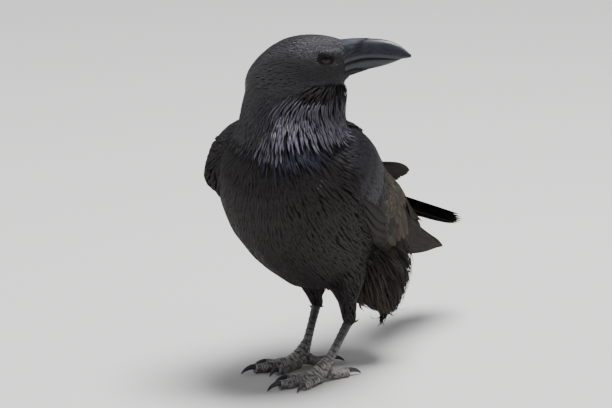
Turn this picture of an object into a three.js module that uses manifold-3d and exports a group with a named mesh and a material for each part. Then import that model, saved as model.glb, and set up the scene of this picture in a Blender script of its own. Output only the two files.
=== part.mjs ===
// A raven at rest, life size: it stands with its breast to the front and its head turned over its
// left shoulder. Its right wing is folded above the tail and its left wing hangs beside it.
// Millimetres, +Z up. -Y is the way the breast faces and +X is the bird's left. The sizes below are
// measured from the ground under the middle of the two feet; the group is then set back so that
// the frame's origin lies under the middle of the bird's box.
import * as THREE from "three";
import { mergeVertices } from "three/addons/utils/BufferGeometryUtils.js";
import Module from "manifold-3d";

const wasm = await Module();
wasm.setup();

// ---- Driving dimensions ---------------------------------------------------------------------

const GAP = 0.3; // clearance between neighbouring solids
const BOX_MIDDLE = { x: 12.6, y: 74.7 }; // middle of the bird's box, from between the feet

// The trunk, as sections along its axis from the root of the tail to the crop. y and z place the
// middle of a section, pitch is its axis above the level, and top and bottom are its half depths.
const TRUNK = [
  { y: 118, z: 152, pitch: -10, width: 14, top: 8, bottom: 8 },
  { y: 94, z: 155, pitch: 2, width: 30, top: 24, bottom: 26 },
  { y: 60, z: 150, pitch: 16, width: 46, top: 45, bottom: 62 },
  { y: 22, z: 150, pitch: 28, width: 56, top: 70, bottom: 76 },
  { y: -14, z: 164, pitch: 34, width: 64, top: 80, bottom: 74 },
  { y: -46, z: 186, pitch: 37, width: 70, top: 80, bottom: 70 },
  { y: -72, z: 208, pitch: 40, width: 66, top: 64, bottom: 58 },
  { y: -84, z: 232, pitch: 50, width: 54, top: 44, bottom: 46 },
  { y: -78, z: 254, pitch: 66, width: 38, top: 26, bottom: 33 },
];

// The neck, as level sections from inside the breast up into the head. side is across the bill's
// line and fore is along it, because the fluffed neck follows the turned head.
const NECK = [
  { x: 0, y: -58, z: 205, side: 50, fore: 50 },
  { x: 0, y: -57, z: 228, side: 54, fore: 54 },
  { x: 0, y: -53, z: 247, side: 52, fore: 53 },
  { x: -1, y: -48, z: 263, side: 46, fore: 51 },
  { x: 0, y: -46, z: 280, side: 38, fore: 50 },
  { x: 3, y: -45, z: 296, side: 31, fore: 46 },
  { x: 4, y: -45, z: 310, side: 22, fore: 34 },
];

// The head, as upright sections along the bill's line, from the nape to the face.
const HEAD_AT = { x: 4, y: -46 };
const HEAD_TURN = 104; // degrees to the bird's left of the way the breast faces
const HEAD = [
  { along: -50, top: 298, bottom: 282, width: 8 },
  { along: -43, top: 311, bottom: 268, width: 19 },
  { along: -29, top: 325.5, bottom: 260, width: 25 },
  { along: -12, top: 336, bottom: 260, width: 27 },
  { along: 5, top: 340, bottom: 266, width: 27.5 },
  { along: 20, top: 341, bottom: 278, width: 25.5 },
  { along: 34, top: 339.6, bottom: 290, width: 21 },
  { along: 45, top: 337, bottom: 296, width: 15.5 },
  { along: 53, top: 334, bottom: 302, width: 9.5 },
];
const NECK_CUT = { z: 256, tilt: 14 }; // where trunk and neck part
const HEAD_CUT = { z: 284, tilt: -10 }; // where neck and head part

// The bill, along the same line: the culmen's arch, the cutting edge and the chin's line.
const BILL = [
  { along: 34, top: 335.5, edge: 307, bottom: 297, width: 11.5 },
  { along: 44, top: 337, edge: 313.6, bottom: 301.4, width: 11 },
  { along: 54, top: 338.4, edge: 318.6, bottom: 305.8, width: 10.4 },
  { along: 64, top: 339.3, edge: 321.8, bottom: 309.2, width: 9.4 },
  { along: 74, top: 339.9, edge: 323.2, bottom: 312, width: 8.3 },
  { along: 84, top: 339.5, edge: 323.3, bottom: 314.8, width: 7 },
  { along: 93, top: 337.5, edge: 322.9, bottom: 317.8, width: 5.4 },
  { along: 101, top: 333.7, edge: 323.2, bottom: 321, width: 3.4 },
  { along: 110, top: 326.8, edge: 325, bottom: 324.4, width: 1.2 },
];
const LOWER_BILL_REACH = 0.88; // the lower bill ends behind the hook
const EYE = { along: 31.6, z: 321.6, out: 16, radius: 7 };

// The folded left wing, as bent sections from the bend of the wing to the tip. Each is an arc of
// a squared ellipse round (x, y, z), from the angle top to the angle bottom, in a plane leant
// back by lean. thick is the depth of the wing between its surface and the flank.
const WING = [
  { x: 0, y: -86, z: 220, lean: 30, out: 54, up: 40, top: 70, bottom: 4, thick: 20 },
  { x: 0, y: -62, z: 214, lean: 34, out: 82, up: 54, top: 74, bottom: -16, thick: 26 },
  { x: 0, y: -28, z: 194, lean: 36, out: 82, up: 63, top: 78, bottom: -22, thick: 26 },
  { x: 0, y: 8, z: 171, lean: 38, out: 76, up: 64, top: 80, bottom: -28, thick: 24 },
  { x: 0, y: 44, z: 148, lean: 40, out: 63, up: 55, top: 80, bottom: -28, thick: 16 },
  { x: 2, y: 84, z: 127, lean: 42, out: 48, up: 42, top: 48, bottom: -28, thick: 8 },
  { x: 4, y: 124, z: 110, lean: 44, out: 36, up: 30, top: 58, bottom: -26, thick: 5 },
  { x: 6, y: 162, z: 97, lean: 44, out: 26, up: 21, top: 62, bottom: -20, thick: 4 },
  { x: 9, y: 194, z: 88, lean: 44, out: 15, up: 13, top: 60, bottom: -14, thick: 3 },
  { x: 12, y: 218, z: 80, lean: 44, out: 6, up: 7, top: 54, bottom: -8, thick: 3 },
];
const WING_SQUARE = 2.6; // 2 is a plain ellipse; more squares the shoulder
const COVERTS = { end: 0.52, shorter: 0.12 }; // share of the wing's length, less at its lower edge
const WING_REACH = 330; // length of a folded wing from bend to tip

// The two wings. bend is how far the whole wing lies from where the table puts it, outward, back
// and up, and tip is how much further its outer half does. slim is how much flatter its shoulder
// lies, blunt is the share of its length that the innermost primary reaches, and level is how far
// its primaries rise to the wing's surface towards their tips.
const WINGS = [
  { name: "left", side: 1, bend: [-6, 8, 0], tip: [5, -2, 0], slim: 12, blunt: 0.76, level: 2 },
  { name: "right", side: -1, bend: [2, 0, 0], tip: [14, 17, 57], slim: 0, blunt: 0.95, level: 5.2 },
];
const LIFTED = { from: 0.2, to: 0.85 }; // the stretch of the wing over which tip comes in
const SLIMMED = { at: 0.34, reach: 0.18 }; // the middle and half length of the stretch for slim

// Rows of flight feathers as one scalloped sheet each. from is the hidden root, high and low are
// the places of the first and last feather between the back edge (0) and the lower edge (1).
const SECONDARIES = { count: 7, from: 0.36, high: 0.02, low: 0.86, deep: 1.2, thick: 2.6, rows: 3 };
const PRIMARIES = { count: 8, from: 0.44, high: 0.1, low: 1, deep: 6.2, thick: 2.4, rows: 6 };
const SCALLOP = 0.018; // how far a feather's tip reaches past its neighbours' notch

// The tail: a folded fan of stacked feathers, the middle pair longest and uppermost.
const TAIL = { y: 66, z: 176, droop: 20.8, length: 217, pairs: 6, root: 15, tip: 30, thick: 2.6 };
const RECTRIX = { shorter: 9.5, lower: 1.5, scallop: 9 };

// Legs and feet, from the right side of the bird (-X) to the left.
const LEGS = [
  { name: "right", foot: [-23, 12], ankle: [-25, 42, 57], knee: [-29, 2, 134], turn: 34, thigh: 23 },
  { name: "left", foot: [19, -22], ankle: [26, 14, 52], knee: [29, -2, 134], turn: 24, thigh: 24 },
];
const TOES = [
  { name: "hallux", turn: 180, length: 25, radius: 4.6, claw: 19 },
  { name: "inner", turn: 24, length: 33, radius: 4.5, claw: 15 },
  { name: "middle", turn: 0, length: 49, radius: 4.9, claw: 17 },
  { name: "outer", turn: -24, length: 36, radius: 4.4, claw: 14 },
];
const TARSUS = { foot: 5.2, shank: 3.7, ankle: 5.4 };
const JOINT_Z = 11; // height of the toes' common joint

// The loose feathers that hang behind the legs under the tail, lowest behind the left leg.
const VENT = [
  { x: 0, y: 76, z: 142, width: 40, fore: 38 },
  { x: 1, y: 70, z: 120, width: 50, fore: 46 },
  { x: 3, y: 64, z: 98, width: 53, fore: 48 },
  { x: 8, y: 62, z: 80, width: 48, fore: 43 },
  { x: 17, y: 65, z: 66, width: 37, fore: 33 },
  { x: 26, y: 71, z: 54, width: 22, fore: 19 },
  { x: 31, y: 75, z: 46, width: 8, fore: 7 },
];

const FEATHER = { color: 0x17161a, roughness: 0.55, metalness: 0 };
const HORN = { color: 0x1b1c20, roughness: 0.35, metalness: 0 };
const SCALE = { color: 0x24252a, roughness: 0.5, metalness: 0 };
const GLASSY = { color: 0x0d0a08, roughness: 0.08, metalness: 0 };

// ---- Curves and solids ----------------------------------------------------------------------

const rad = THREE.MathUtils.degToRad;
const vec = (x, y, z) => new THREE.Vector3(x, y, z);

// A smooth value through evenly spaced ones (Catmull-Rom), for t from 0 to 1.
function smooth(values, t) {
  const last = values.length - 1;
  const place = Math.min(Math.max(t, 0), 1) * last;
  const i = Math.min(Math.floor(place), last - 1);
  const f = place - i;
  const [a, b] = [values[i], values[i + 1]];
  const before = i > 0 ? values[i - 1] : 2 * a - b;
  const after = i + 2 <= last ? values[i + 2] : 2 * b - a;
  const [u, v] = [(b - before) / 2, (after - a) / 2];
  const bend = 3 * (b - a) - 2 * u - v;
  const twist = 2 * (a - b) + u + v;
  return a + u * f + bend * f * f + twist * f * f * f;
}

// The station at t of a table of stations, every field of it smoothed.
function stationAt(table, t) {
  const keys = Object.keys(table[0]);
  return Object.fromEntries(keys.map((key) => [key, smooth(table.map((row) => row[key]), t)]));
}

// A closed solid from points and triangles, whichever way round they go.
function closedSolid(points, triangles) {
  const loose = new THREE.BufferGeometry();
  loose.setAttribute("position", new THREE.Float32BufferAttribute(points.flatMap((p) => p.toArray()), 3));
  loose.setIndex(triangles.flat());
  const geometry = mergeVertices(loose, 1e-4);
  const index = [];
  const old = geometry.index.array;
  for (let i = 0; i < old.length; i += 3) {
    const [a, b, c] = old.subarray(i, i + 3);
    if (a !== b && b !== c && c !== a) index.push([a, b, c]);
  }
  const vertProperties = geometry.attributes.position.array;
  const build = (faces) => {
    const triVerts = new Uint32Array(faces.flat());
    return new wasm.Manifold(new wasm.Mesh({ numProp: 3, vertProperties, triVerts }));
  };
  const made = build(index);
  return made.volume() > 0 ? made : build(index.map(([a, b, c]) => [a, c, b]));
}

// The solid inside a row of rings, closed with a fan at each end.
function loft(rings) {
  const around = rings[0].length;
  const middle = (ring) => ring.reduce((sum, p) => sum.add(p), vec(0, 0, 0)).divideScalar(ring.length);
  const points = [...rings.flat(), middle(rings[0]), middle(rings.at(-1))];
  const triangles = [];
  for (let row = 0; row + 1 < rings.length; row++) {
    for (let k = 0; k < around; k++) {
      const a = row * around + k;
      const b = row * around + ((k + 1) % around);
      triangles.push([a, b, b + around], [a, b + around, a + around]);
    }
  }
  const [first, last] = [points.length - 2, points.length - 1];
  const end = (rings.length - 1) * around;
  for (let k = 0; k < around; k++) {
    triangles.push([first, (k + 1) % around, k], [last, end + k, end + ((k + 1) % around)]);
  }
  return closedSolid(points, triangles);
}

// The solid between two grids of points, such as the outer and inner face of a wing.
function slab(outer, inner) {
  const [rows, columns] = [outer.length, outer[0].length];
  const at = (side, r, c) => side * rows * columns + r * columns + c;
  const triangles = [];
  const quad = (a, b, c, d) => triangles.push([a, b, c], [a, c, d]);
  for (let r = 0; r + 1 < rows; r++) {
    for (let c = 0; c + 1 < columns; c++) {
      quad(at(0, r, c), at(0, r, c + 1), at(0, r + 1, c + 1), at(0, r + 1, c));
      quad(at(1, r, c), at(1, r + 1, c), at(1, r + 1, c + 1), at(1, r, c + 1));
    }
    const right = columns - 1;
    quad(at(0, r, 0), at(0, r + 1, 0), at(1, r + 1, 0), at(1, r, 0));
    quad(at(0, r, right), at(1, r, right), at(1, r + 1, right), at(0, r + 1, right));
  }
  for (let c = 0; c + 1 < columns; c++) {
    const end = rows - 1;
    quad(at(0, 0, c), at(1, 0, c), at(1, 0, c + 1), at(0, 0, c + 1));
    quad(at(0, end, c), at(0, end, c + 1), at(1, end, c + 1), at(1, end, c));
  }
  return closedSolid([...outer.flat(), ...inner.flat()], triangles);
}

// A ring round a centre: side and up are unit vectors, and the two heights may differ.
function ring(centre, side, up, width, top, bottom, count, square = 2) {
  const power = (value) => Math.sign(value) * Math.abs(value) ** (2 / square);
  return Array.from({ length: count }, (_, k) => {
    const angle = (2 * Math.PI * (k + 0.5)) / count;
    const rise = power(Math.sin(angle));
    return centre.clone()
      .addScaledVector(side, width * power(Math.cos(angle)))
      .addScaledVector(up, rise * (rise > 0 ? top : bottom));
  });
}

// Everything on the side of a plane that its normal points away from.
function behindPlane(point, normal) {
  const size = 1200;
  const box = new THREE.BoxGeometry(size, size, size);
  box.deleteAttribute("normal");
  box.deleteAttribute("uv");
  box.translate(0, 0, -size / 2);
  box.applyQuaternion(new THREE.Quaternion().setFromUnitVectors(vec(0, 0, 1), normal));
  box.translate(point.x, point.y, point.z);
  const merged = mergeVertices(box);
  const vertProperties = merged.attributes.position.array;
  const triVerts = new Uint32Array(merged.index.array);
  return new wasm.Manifold(new wasm.Mesh({ numProp: 3, vertProperties, triVerts }));
}

// The part of a solid below a cut (side 1) or above it (side -1), half the clearance short of it.
function cutAway(solid, cut, side) {
  const normal = vec(0, -Math.sin(rad(cut.tilt)), Math.cos(rad(cut.tilt))).multiplyScalar(side);
  const point = vec(HEAD_AT.x, HEAD_AT.y, cut.z).addScaledVector(normal, -GAP / 2);
  return solid.intersect(behindPlane(point, normal));
}
const belowCut = (solid, cut) => cutAway(solid, cut, 1);
const aboveCut = (solid, cut) => cutAway(solid, cut, -1);

const steps = (count) => Array.from({ length: count + 1 }, (_, i) => i / count);
const joined = (solids) => solids.reduce((sum, solid) => sum.add(solid));
const without = (solid, ...others) => others.reduce((rest, other) => rest.subtract(other), solid);

// ---- Body -----------------------------------------------------------------------------------

const AROUND = 20;
const forward = vec(Math.sin(rad(HEAD_TURN)), -Math.cos(rad(HEAD_TURN)), 0); // where the bill points
const cheek = vec(forward.y, -forward.x, 0); // out of the head's right side

function trunk(grow = 0) {
  return loft(steps(14).map((t) => {
    const s = stationAt(TRUNK, t);
    const up = vec(0, Math.sin(rad(s.pitch)), Math.cos(rad(s.pitch)));
    const [top, bottom] = [s.top + grow, s.bottom + grow];
    return ring(vec(0, s.y, s.z), vec(1, 0, 0), up, s.width + grow, top, bottom, AROUND);
  }));
}

function neck(grow = 0) {
  return loft(steps(8).map((t) => {
    const s = stationAt(NECK, t);
    const side = s.side + grow;
    return ring(vec(s.x, s.y, s.z), forward, cheek, s.fore + grow, side, side, AROUND);
  }));
}

// A point on the head's own middle plane.
const onHead = (along, z) => vec(HEAD_AT.x, HEAD_AT.y, z).addScaledVector(forward, along);

function head(grow = 0) {
  return loft(steps(11).map((t) => {
    const s = stationAt(HEAD, t);
    const centre = s.top - s.width * 0.95;
    const up = vec(0, 0, 1);
    return ring(onHead(s.along, centre), cheek, up,
      s.width + grow, s.top - centre + grow, centre - s.bottom + grow, 18, 2.2);
  }));
}

// ---- Bill and eyes --------------------------------------------------------------------------

// Half of the bill: its ridge line is top or bottom, and its other line is the cutting edge.
function billHalf(ridge, edgeGap, reach) {
  return loft(steps(10).map((share) => {
    const s = stationAt(BILL, share * reach);
    const closing = reach < 1 ? Math.sqrt(1 - 0.8 * share ** 8) : 1;
    const edge = s.edge + edgeGap;
    return steps(9).map((k) => {
      const angle = Math.PI * k;
      const rise = (s[ridge] - edge) * Math.sin(angle) ** 0.82 * closing;
      return onHead(s.along, edge + rise).addScaledVector(cheek, s.width * closing * Math.cos(angle));
    });
  }));
}

// The eyeball of one cheek: side is 1 on the head's right and -1 on its left.
function eyeBall(side, grow = 0) {
  const centre = onHead(EYE.along, EYE.z).addScaledVector(cheek, side * EYE.out);
  const radius = EYE.radius + grow;
  return loft(steps(7).slice(1, -1).map((t) => {
    const angle = Math.PI * t;
    const middle = centre.clone().addScaledVector(cheek, radius * Math.cos(angle));
    const r = radius * Math.sin(angle);
    return ring(middle, forward, vec(0, 0, 1), r, r, r, 12);
  }));
}

// ---- Wings ----------------------------------------------------------------------------------

// A point on the outer surface of a wing: s runs from its bend to its tip, and t from the edge on
// the back to the lower edge. deep is how far below the surface the point lies.
function wingPoint(wing, s, t, deep = 0) {
  const w = stationAt(WING, s);
  const angle = rad(w.top + (w.bottom - w.top) * t);
  const power = (value) => Math.sign(value) * Math.abs(value) ** (2 / WING_SQUARE);
  const away = Math.min(Math.abs(s - SLIMMED.at) / SLIMMED.reach, 1);
  const inset = deep + wing.slim * Math.cos((away * Math.PI) / 2) ** 2 * (1 - t * t);
  const out = w.x + Math.max(w.out - inset, 0.3) * power(Math.cos(angle));
  const rise = Math.max(w.up - inset, 0.3) * power(Math.sin(angle));
  const up = vec(0, Math.sin(rad(w.lean)), Math.cos(rad(w.lean)));
  const lifted = THREE.MathUtils.smoothstep(s, LIFTED.from, LIFTED.to);
  const point = vec(out, w.y, w.z).addScaledVector(up, rise);
  point.add(vec(...wing.bend)).addScaledVector(vec(...wing.tip), lifted);
  point.x *= wing.side;
  return point;
}

function wingCoverts(wing, grow = 0) {
  const face = (inner) => steps(9).map((a) => steps(7).map((t) => {
    const s = a * (COVERTS.end - COVERTS.shorter * t + grow / WING_REACH);
    const deep = inner ? stationAt(WING, s).thick + grow : -grow;
    return wingPoint(wing, s, t, deep);
  }));
  return slab(face(false), face(true));
}

// A row of flight feathers: reach gives how far along the wing the tip at place f of it lies, and
// level how far the row rises to the wing's surface in its outer half.
function flightFeathers(wing, row, reach, level = 0) {
  const columns = steps(row.count * 2);
  const face = (deep) => steps(row.rows).map((a) => columns.map((f, k) => {
    const tip = reach(f) - (k % 2 ? 0 : SCALLOP);
    const t = row.high + (row.low - row.high) * f;
    const rise = level * THREE.MathUtils.smoothstep(a, 0.5, 1);
    return wingPoint(wing, row.from + (tip - row.from) * a, t, deep - rise);
  }));
  return slab(face(row.deep), face(row.deep + row.thick));
}

const secondaryReach = (f) => 0.7 - 0.17 * f;
const primaryReach = (blunt) => (f) => blunt + (1 - blunt) * Math.sin(Math.PI * (f * 0.78 + 0.02));

// ---- Tail -----------------------------------------------------------------------------------

function tail() {
  const slope = rad(TAIL.droop);
  const back = vec(0, Math.cos(slope), -Math.sin(slope));
  const up = vec(0, Math.sin(slope), Math.cos(slope));
  const columns = steps(TAIL.pairs * 4).map((f) => f * 2 - 1);
  const face = (deep) => steps(2).map((a) => columns.map((f, k) => {
    const step = Math.abs(f) * TAIL.pairs;
    const length = TAIL.length - RECTRIX.shorter * step * Math.abs(f) - (k % 2 ? 0 : RECTRIX.scallop);
    const half = TAIL.root + (TAIL.tip - TAIL.root) * Math.sin((a * Math.PI) / 2);
    return vec(half * f, TAIL.y, TAIL.z)
      .addScaledVector(back, length * a)
      .addScaledVector(up, -RECTRIX.lower * step * a - deep);
  }));
  return slab(face(0), face(TAIL.thick));
}

// ---- Legs -----------------------------------------------------------------------------------

// A round limb through points, with a radius at each. Points below the ground are set on it.
function limb(points, radii, count, rows, floor = -Infinity) {
  const path = new THREE.CatmullRomCurve3(points, false, "centripetal");
  return loft(steps(rows).map((t) => {
    const centre = path.getPoint(t);
    const direction = path.getTangent(t);
    const side = vec(0, 0, 1).cross(direction);
    if (side.length() < 0.05) side.set(1, 0, 0);
    side.normalize();
    const up = direction.clone().cross(side).normalize();
    const r = smooth(radii, t);
    const points = ring(centre, side, up, r, r, r, count);
    points.forEach((p) => { p.z = Math.max(p.z, floor); });
    return points;
  }));
}

const footJoint = (leg) => vec(leg.foot[0], leg.foot[1], JOINT_Z);

function thigh(leg, grow = 0) {
  const ankle = vec(...leg.ankle);
  const knee = vec(...leg.knee);
  const low = ankle.clone().lerp(knee, -0.04);
  const points = [low, ankle.clone().lerp(knee, 0.22), ankle.clone().lerp(knee, 0.5), knee];
  return limb(points, [7.4, 10, 19, leg.thigh].map((r) => r + grow), 12, 6);
}

function tarsus(leg, grow = 0) {
  const foot = footJoint(leg).add(vec(0, 0, -1));
  const ankle = vec(...leg.ankle);
  const up = (share) => foot.clone().lerp(ankle, share);
  const radii = [TARSUS.foot, TARSUS.shank + 0.4, TARSUS.shank, TARSUS.shank + 0.5, TARSUS.ankle];
  return limb([up(0), up(0.25), up(0.5), up(0.75), up(1.06)], radii.map((r) => r + grow), 10, 6);
}

// The way a toe points along the ground.
function toeWay(leg, toe) {
  const angle = rad(leg.turn + toe.turn);
  return vec(-Math.sin(angle), -Math.cos(angle), 0);
}

function toeBody(leg, toe, grow = 0) {
  const way = toeWay(leg, toe);
  const root = footJoint(leg).addScaledVector(way, 3);
  const at = (share, z) => vec(root.x, root.y, z).addScaledVector(way, toe.length * share);
  const r = toe.radius;
  const sole = [at(0.5, r * 0.9), at(0.78, r * 0.86), at(1, r * 0.9)];
  const radii = [1.12, 1.15, 1, 1.06, 0.82].map((share) => r * share + grow);
  return limb([at(0, JOINT_Z - 2.5), at(0.2, r * 1.25), ...sole], radii, 8, 7, 0);
}

function claw(leg, toe) {
  const way = toeWay(leg, toe);
  const root = footJoint(leg);
  const at = (reach, z) => vec(root.x, root.y, z).addScaledVector(way, toe.length + reach);
  const [c, r] = [toe.claw, toe.radius];
  const points = [at(-1, r * 1.05), at(c * 0.3, r * 1.35), at(c * 0.68, r * 0.98), at(c * 0.95, r * 0.2)];
  return limb(points, [r * 0.56, r * 0.52, r * 0.34, 0.35], 6, 5, 0.02);
}

// ---- Vent -----------------------------------------------------------------------------------

function vent(grow = 0) {
  return loft(steps(7).map((t) => {
    const s = stationAt(VENT, t);
    const fore = s.fore + grow;
    return ring(vec(s.x, s.y, s.z), vec(1, 0, 0), vec(0, 1, 0), s.width + grow, fore, fore, 14);
  }));
}

// ---- The bird -------------------------------------------------------------------------------

const bird = new THREE.Group();

function piece(name, solid, look) {
  const mesh = solid.getMesh();
  const positions = new Float32Array(mesh.numVert * 3);
  for (let i = 0; i < mesh.numVert; i++) {
    positions.set(mesh.vertProperties.subarray(i * mesh.numProp, i * mesh.numProp + 3), i * 3);
  }
  const geometry = new THREE.BufferGeometry();
  geometry.setAttribute("position", new THREE.BufferAttribute(positions, 3));
  geometry.setIndex(new THREE.BufferAttribute(mesh.triVerts, 1));
  geometry.computeVertexNormals();
  const made = new THREE.Mesh(geometry, new THREE.MeshStandardMaterial(look));
  made.name = name;
  bird.add(made);
}

const upperBill = billHalf("top", GAP / 2, 1);
const lowerBill = billHalf("bottom", -GAP / 2, LOWER_BILL_REACH);
const whole = joined([trunk(), neck(), head()]);
const grownBody = joined([trunk(GAP), neck(GAP), head(GAP)]);
const face = without(aboveCut(whole, HEAD_CUT), eyeBall(1, GAP), eyeBall(-1, GAP));

piece("head", face, FEATHER);
piece("neck", belowCut(aboveCut(whole, NECK_CUT), HEAD_CUT), FEATHER);
piece("trunk", belowCut(whole, NECK_CUT), FEATHER);
piece("upper_bill", without(upperBill, grownBody), HORN);
piece("lower_bill", without(lowerBill, grownBody), HORN);
piece("eye_right", eyeBall(1), GLASSY);
piece("eye_left", eyeBall(-1), GLASSY);

const grownThighs = LEGS.map((leg) => thigh(leg, GAP));
for (const leg of LEGS) {
  const grownTarsus = tarsus(leg, GAP);
  piece(`thigh_${leg.name}`, without(thigh(leg), grownBody), FEATHER);
  const toes = TOES.map((toe) => toeBody(leg, toe));
  const grownToes = TOES.map((toe) => toeBody(leg, toe, GAP));
  piece(`tarsus_${leg.name}`, without(tarsus(leg), thigh(leg, GAP)), SCALE);
  TOES.forEach((toe, i) => {
    const earlier = grownToes.slice(0, i);
    piece(`toe_${leg.name}_${toe.name}`, without(toes[i], grownTarsus, ...earlier), SCALE);
    piece(`claw_${leg.name}_${toe.name}`, without(claw(leg, toe), grownToes[i]), HORN);
  });
}
piece("vent_feathers", without(vent(), grownBody, ...grownThighs), FEATHER);

const grownVent = vent(GAP);
piece("tail", without(tail(), grownBody, grownVent), FEATHER);
for (const wing of WINGS) {
  const grownShield = wingCoverts(wing, GAP);
  const inner = flightFeathers(wing, SECONDARIES, secondaryReach);
  const outer = flightFeathers(wing, PRIMARIES, primaryReach(wing.blunt), wing.level);
  piece(`wing_${wing.name}_coverts`, without(wingCoverts(wing), grownBody, grownVent), FEATHER);
  piece(`wing_${wing.name}_secondaries`, without(inner, grownShield, grownBody, grownVent), FEATHER);
  piece(`wing_${wing.name}_primaries`, without(outer, grownShield, grownBody, grownVent), FEATHER);
}

bird.position.set(-BOX_MIDDLE.x, -BOX_MIDDLE.y, 0);

export default bird;
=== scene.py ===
"""A raven at rest, life size and still, dressed over its solids.

One skin stands for the flesh. Feathers are vanes of closed mesh, planted on the skin, along the
wings and on the tail, and the bill, eyes, lids and feet are pieces of their own. Sizes are in
millimetres from the ground under the middle of the two feet until a mesh is made.
"""

import logging
import math
from collections.abc import Callable, Sequence
from dataclasses import dataclass, field
from enum import Enum

import bmesh
import bpy
import numpy as np
from bmesh.types import BMesh
from bpy.types import Material, Mesh, Node, NodeSocket, NodeTree, Object
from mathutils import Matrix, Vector
from mathutils.bvhtree import BVHTree
from mathutils.kdtree import KDTree


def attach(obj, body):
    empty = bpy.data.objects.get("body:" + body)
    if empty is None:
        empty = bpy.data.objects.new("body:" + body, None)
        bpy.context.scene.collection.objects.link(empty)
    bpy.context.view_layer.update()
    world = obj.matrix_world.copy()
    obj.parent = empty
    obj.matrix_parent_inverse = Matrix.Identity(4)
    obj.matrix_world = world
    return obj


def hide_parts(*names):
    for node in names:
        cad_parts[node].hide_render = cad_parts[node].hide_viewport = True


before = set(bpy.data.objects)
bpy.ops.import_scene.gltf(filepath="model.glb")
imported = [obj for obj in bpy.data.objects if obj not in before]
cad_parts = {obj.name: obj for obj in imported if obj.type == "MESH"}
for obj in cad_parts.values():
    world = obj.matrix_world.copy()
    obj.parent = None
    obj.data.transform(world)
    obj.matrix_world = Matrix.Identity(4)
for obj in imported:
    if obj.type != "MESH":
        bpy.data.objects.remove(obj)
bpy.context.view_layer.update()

LOG = logging.getLogger("raven")
Array = np.ndarray
MM = 0.001
FEET = np.array([-12.6, -74.7, 0.0])  # the frame's place for the ground between the feet
UP = np.array([0.0, 0.0, 1.0])
TURN = math.radians(104.0)
FORWARD = np.array([math.sin(TURN), -math.cos(TURN), 0.0])  # where the bill points
CHEEK = np.array([FORWARD[1], -FORWARD[0], 0.0])  # out of the head's right side
HEAD_AT = np.array([4.0, -46.0, 0.0])


# ---- Curves and small sums ------------------------------------------------------------------


def stations(table: Sequence[Sequence[float]], places: Array) -> Array:
    """Reads a table of evenly spaced stations as smooth curves.

    Args:
        table: One row of values for each station.
        places: Places along the table, from 0 to 1.

    Returns:
        One row of values for each place.
    """
    rows = np.asarray(table, float)
    last = len(rows) - 1
    place = np.clip(np.atleast_1d(places), 0.0, 1.0) * last
    i = np.minimum(place.astype(int), last - 1)
    f = (place - i)[:, None]
    more = np.vstack([2 * rows[0] - rows[1], rows, 2 * rows[-1] - rows[-2]])
    before, a, b, after = more[i], more[i + 1], more[i + 2], more[i + 3]
    u, v = (b - before) / 2, (after - a) / 2
    return a + u * f + (3 * (b - a) - 2 * u - v) * f**2 + (2 * (a - b) + u + v) * f**3


def ease(values: Array, low: float, high: float) -> Array:
    """Rises smoothly from 0 at low to 1 at high."""
    x = np.clip((np.asarray(values, float) - low) / (high - low), 0.0, 1.0)
    return x * x * (3 - 2 * x)


def unit(vectors: Array) -> Array:
    """Each row of an array of vectors, at length 1."""
    return vectors / np.maximum(np.linalg.norm(vectors, axis=-1, keepdims=True), 1e-9)


def along_surface(vectors: Array, normals: Array) -> Array:
    """The part of each vector that lies along a surface, at length 1."""
    return unit(vectors - normals * np.sum(vectors * normals, axis=-1, keepdims=True))


def on_head(along: Array, height: Array, out: Array) -> Array:
    """Points from places along the bill's line, above the ground and out to the right."""
    points = HEAD_AT + np.multiply.outer(along, FORWARD)
    return points + np.multiply.outer(height, UP) + np.multiply.outer(out, CHEEK)


# ---- Making meshes --------------------------------------------------------------------------

Placer = Callable[[Array, Array], Array]


def add_ball(bm: BMesh, around: int, rings: int, place: Placer, plates: int = 1) -> None:
    """Adds a closed ball whose points are moved to a form's surface.

    Args:
        bm: The mesh that the ball is added to.
        around: Points in each ring.
        rings: Rows of faces from the first pole to the last.
        place: Gives positions from places along the form (0 to 1) and angles round it.
        plates: The value that the map Form reaches at the end of the form.
    """
    made = bmesh.ops.create_uvsphere(bm, u_segments=around, v_segments=rings, radius=1.0)["verts"]
    at = np.array([v.co for v in made])
    along = np.arccos(np.clip(at[:, 2], -1.0, 1.0)) / math.pi
    angle = np.arctan2(at[:, 1], at[:, 0])
    uv = bm.loops.layers.uv.get("Form") or bm.loops.layers.uv.new("Form")
    for vert, t, a in zip(made, along, angle):
        for loop in vert.link_loops:
            near = loop.face.calc_center_median()
            middle = math.atan2(near.y, near.x)
            turned = a + math.tau * round((middle - a) / math.tau)
            loop[uv].uv = ((middle if 0.001 > min(t, 1 - t) else turned) / math.tau, t * plates)
    for vert, position in zip(made, (place(along, angle) + FEET) * MM):
        vert.co = position


def make_piece(bm: BMesh, name: str, material: Material) -> Object:
    """Turns a bmesh into a smooth-shaded piece that rides on the bird.

    Args:
        bm: The mesh, in metres, which is freed.
        name: The piece's name.
        material: The material it gets.

    Returns:
        The new object.
    """
    bmesh.ops.recalc_face_normals(bm, faces=bm.faces)
    mesh = bpy.data.meshes.new(name)
    bm.to_mesh(mesh)
    bm.free()
    mesh.polygons.foreach_set("use_smooth", np.ones(len(mesh.polygons), bool))
    return register(bpy.data.objects.new(name, mesh), material)


def link(made: Object) -> None:
    """Puts an object in the scene."""
    bpy.context.scene.collection.objects.link(made)


def relax(bm: BMesh, times: int) -> None:
    """Smooths a mesh some times over."""
    for _ in range(times):
        bmesh.ops.smooth_vert(bm, verts=bm.verts, factor=0.5, use_axis_x=True, use_axis_y=True,
                              use_axis_z=True)


def tree_of(points: Array) -> KDTree:
    """A tree that finds the nearest of some points."""
    tree = KDTree(len(points))
    for i, point in enumerate(points):
        tree.insert(point, i)
    tree.balance()
    return tree


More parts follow.
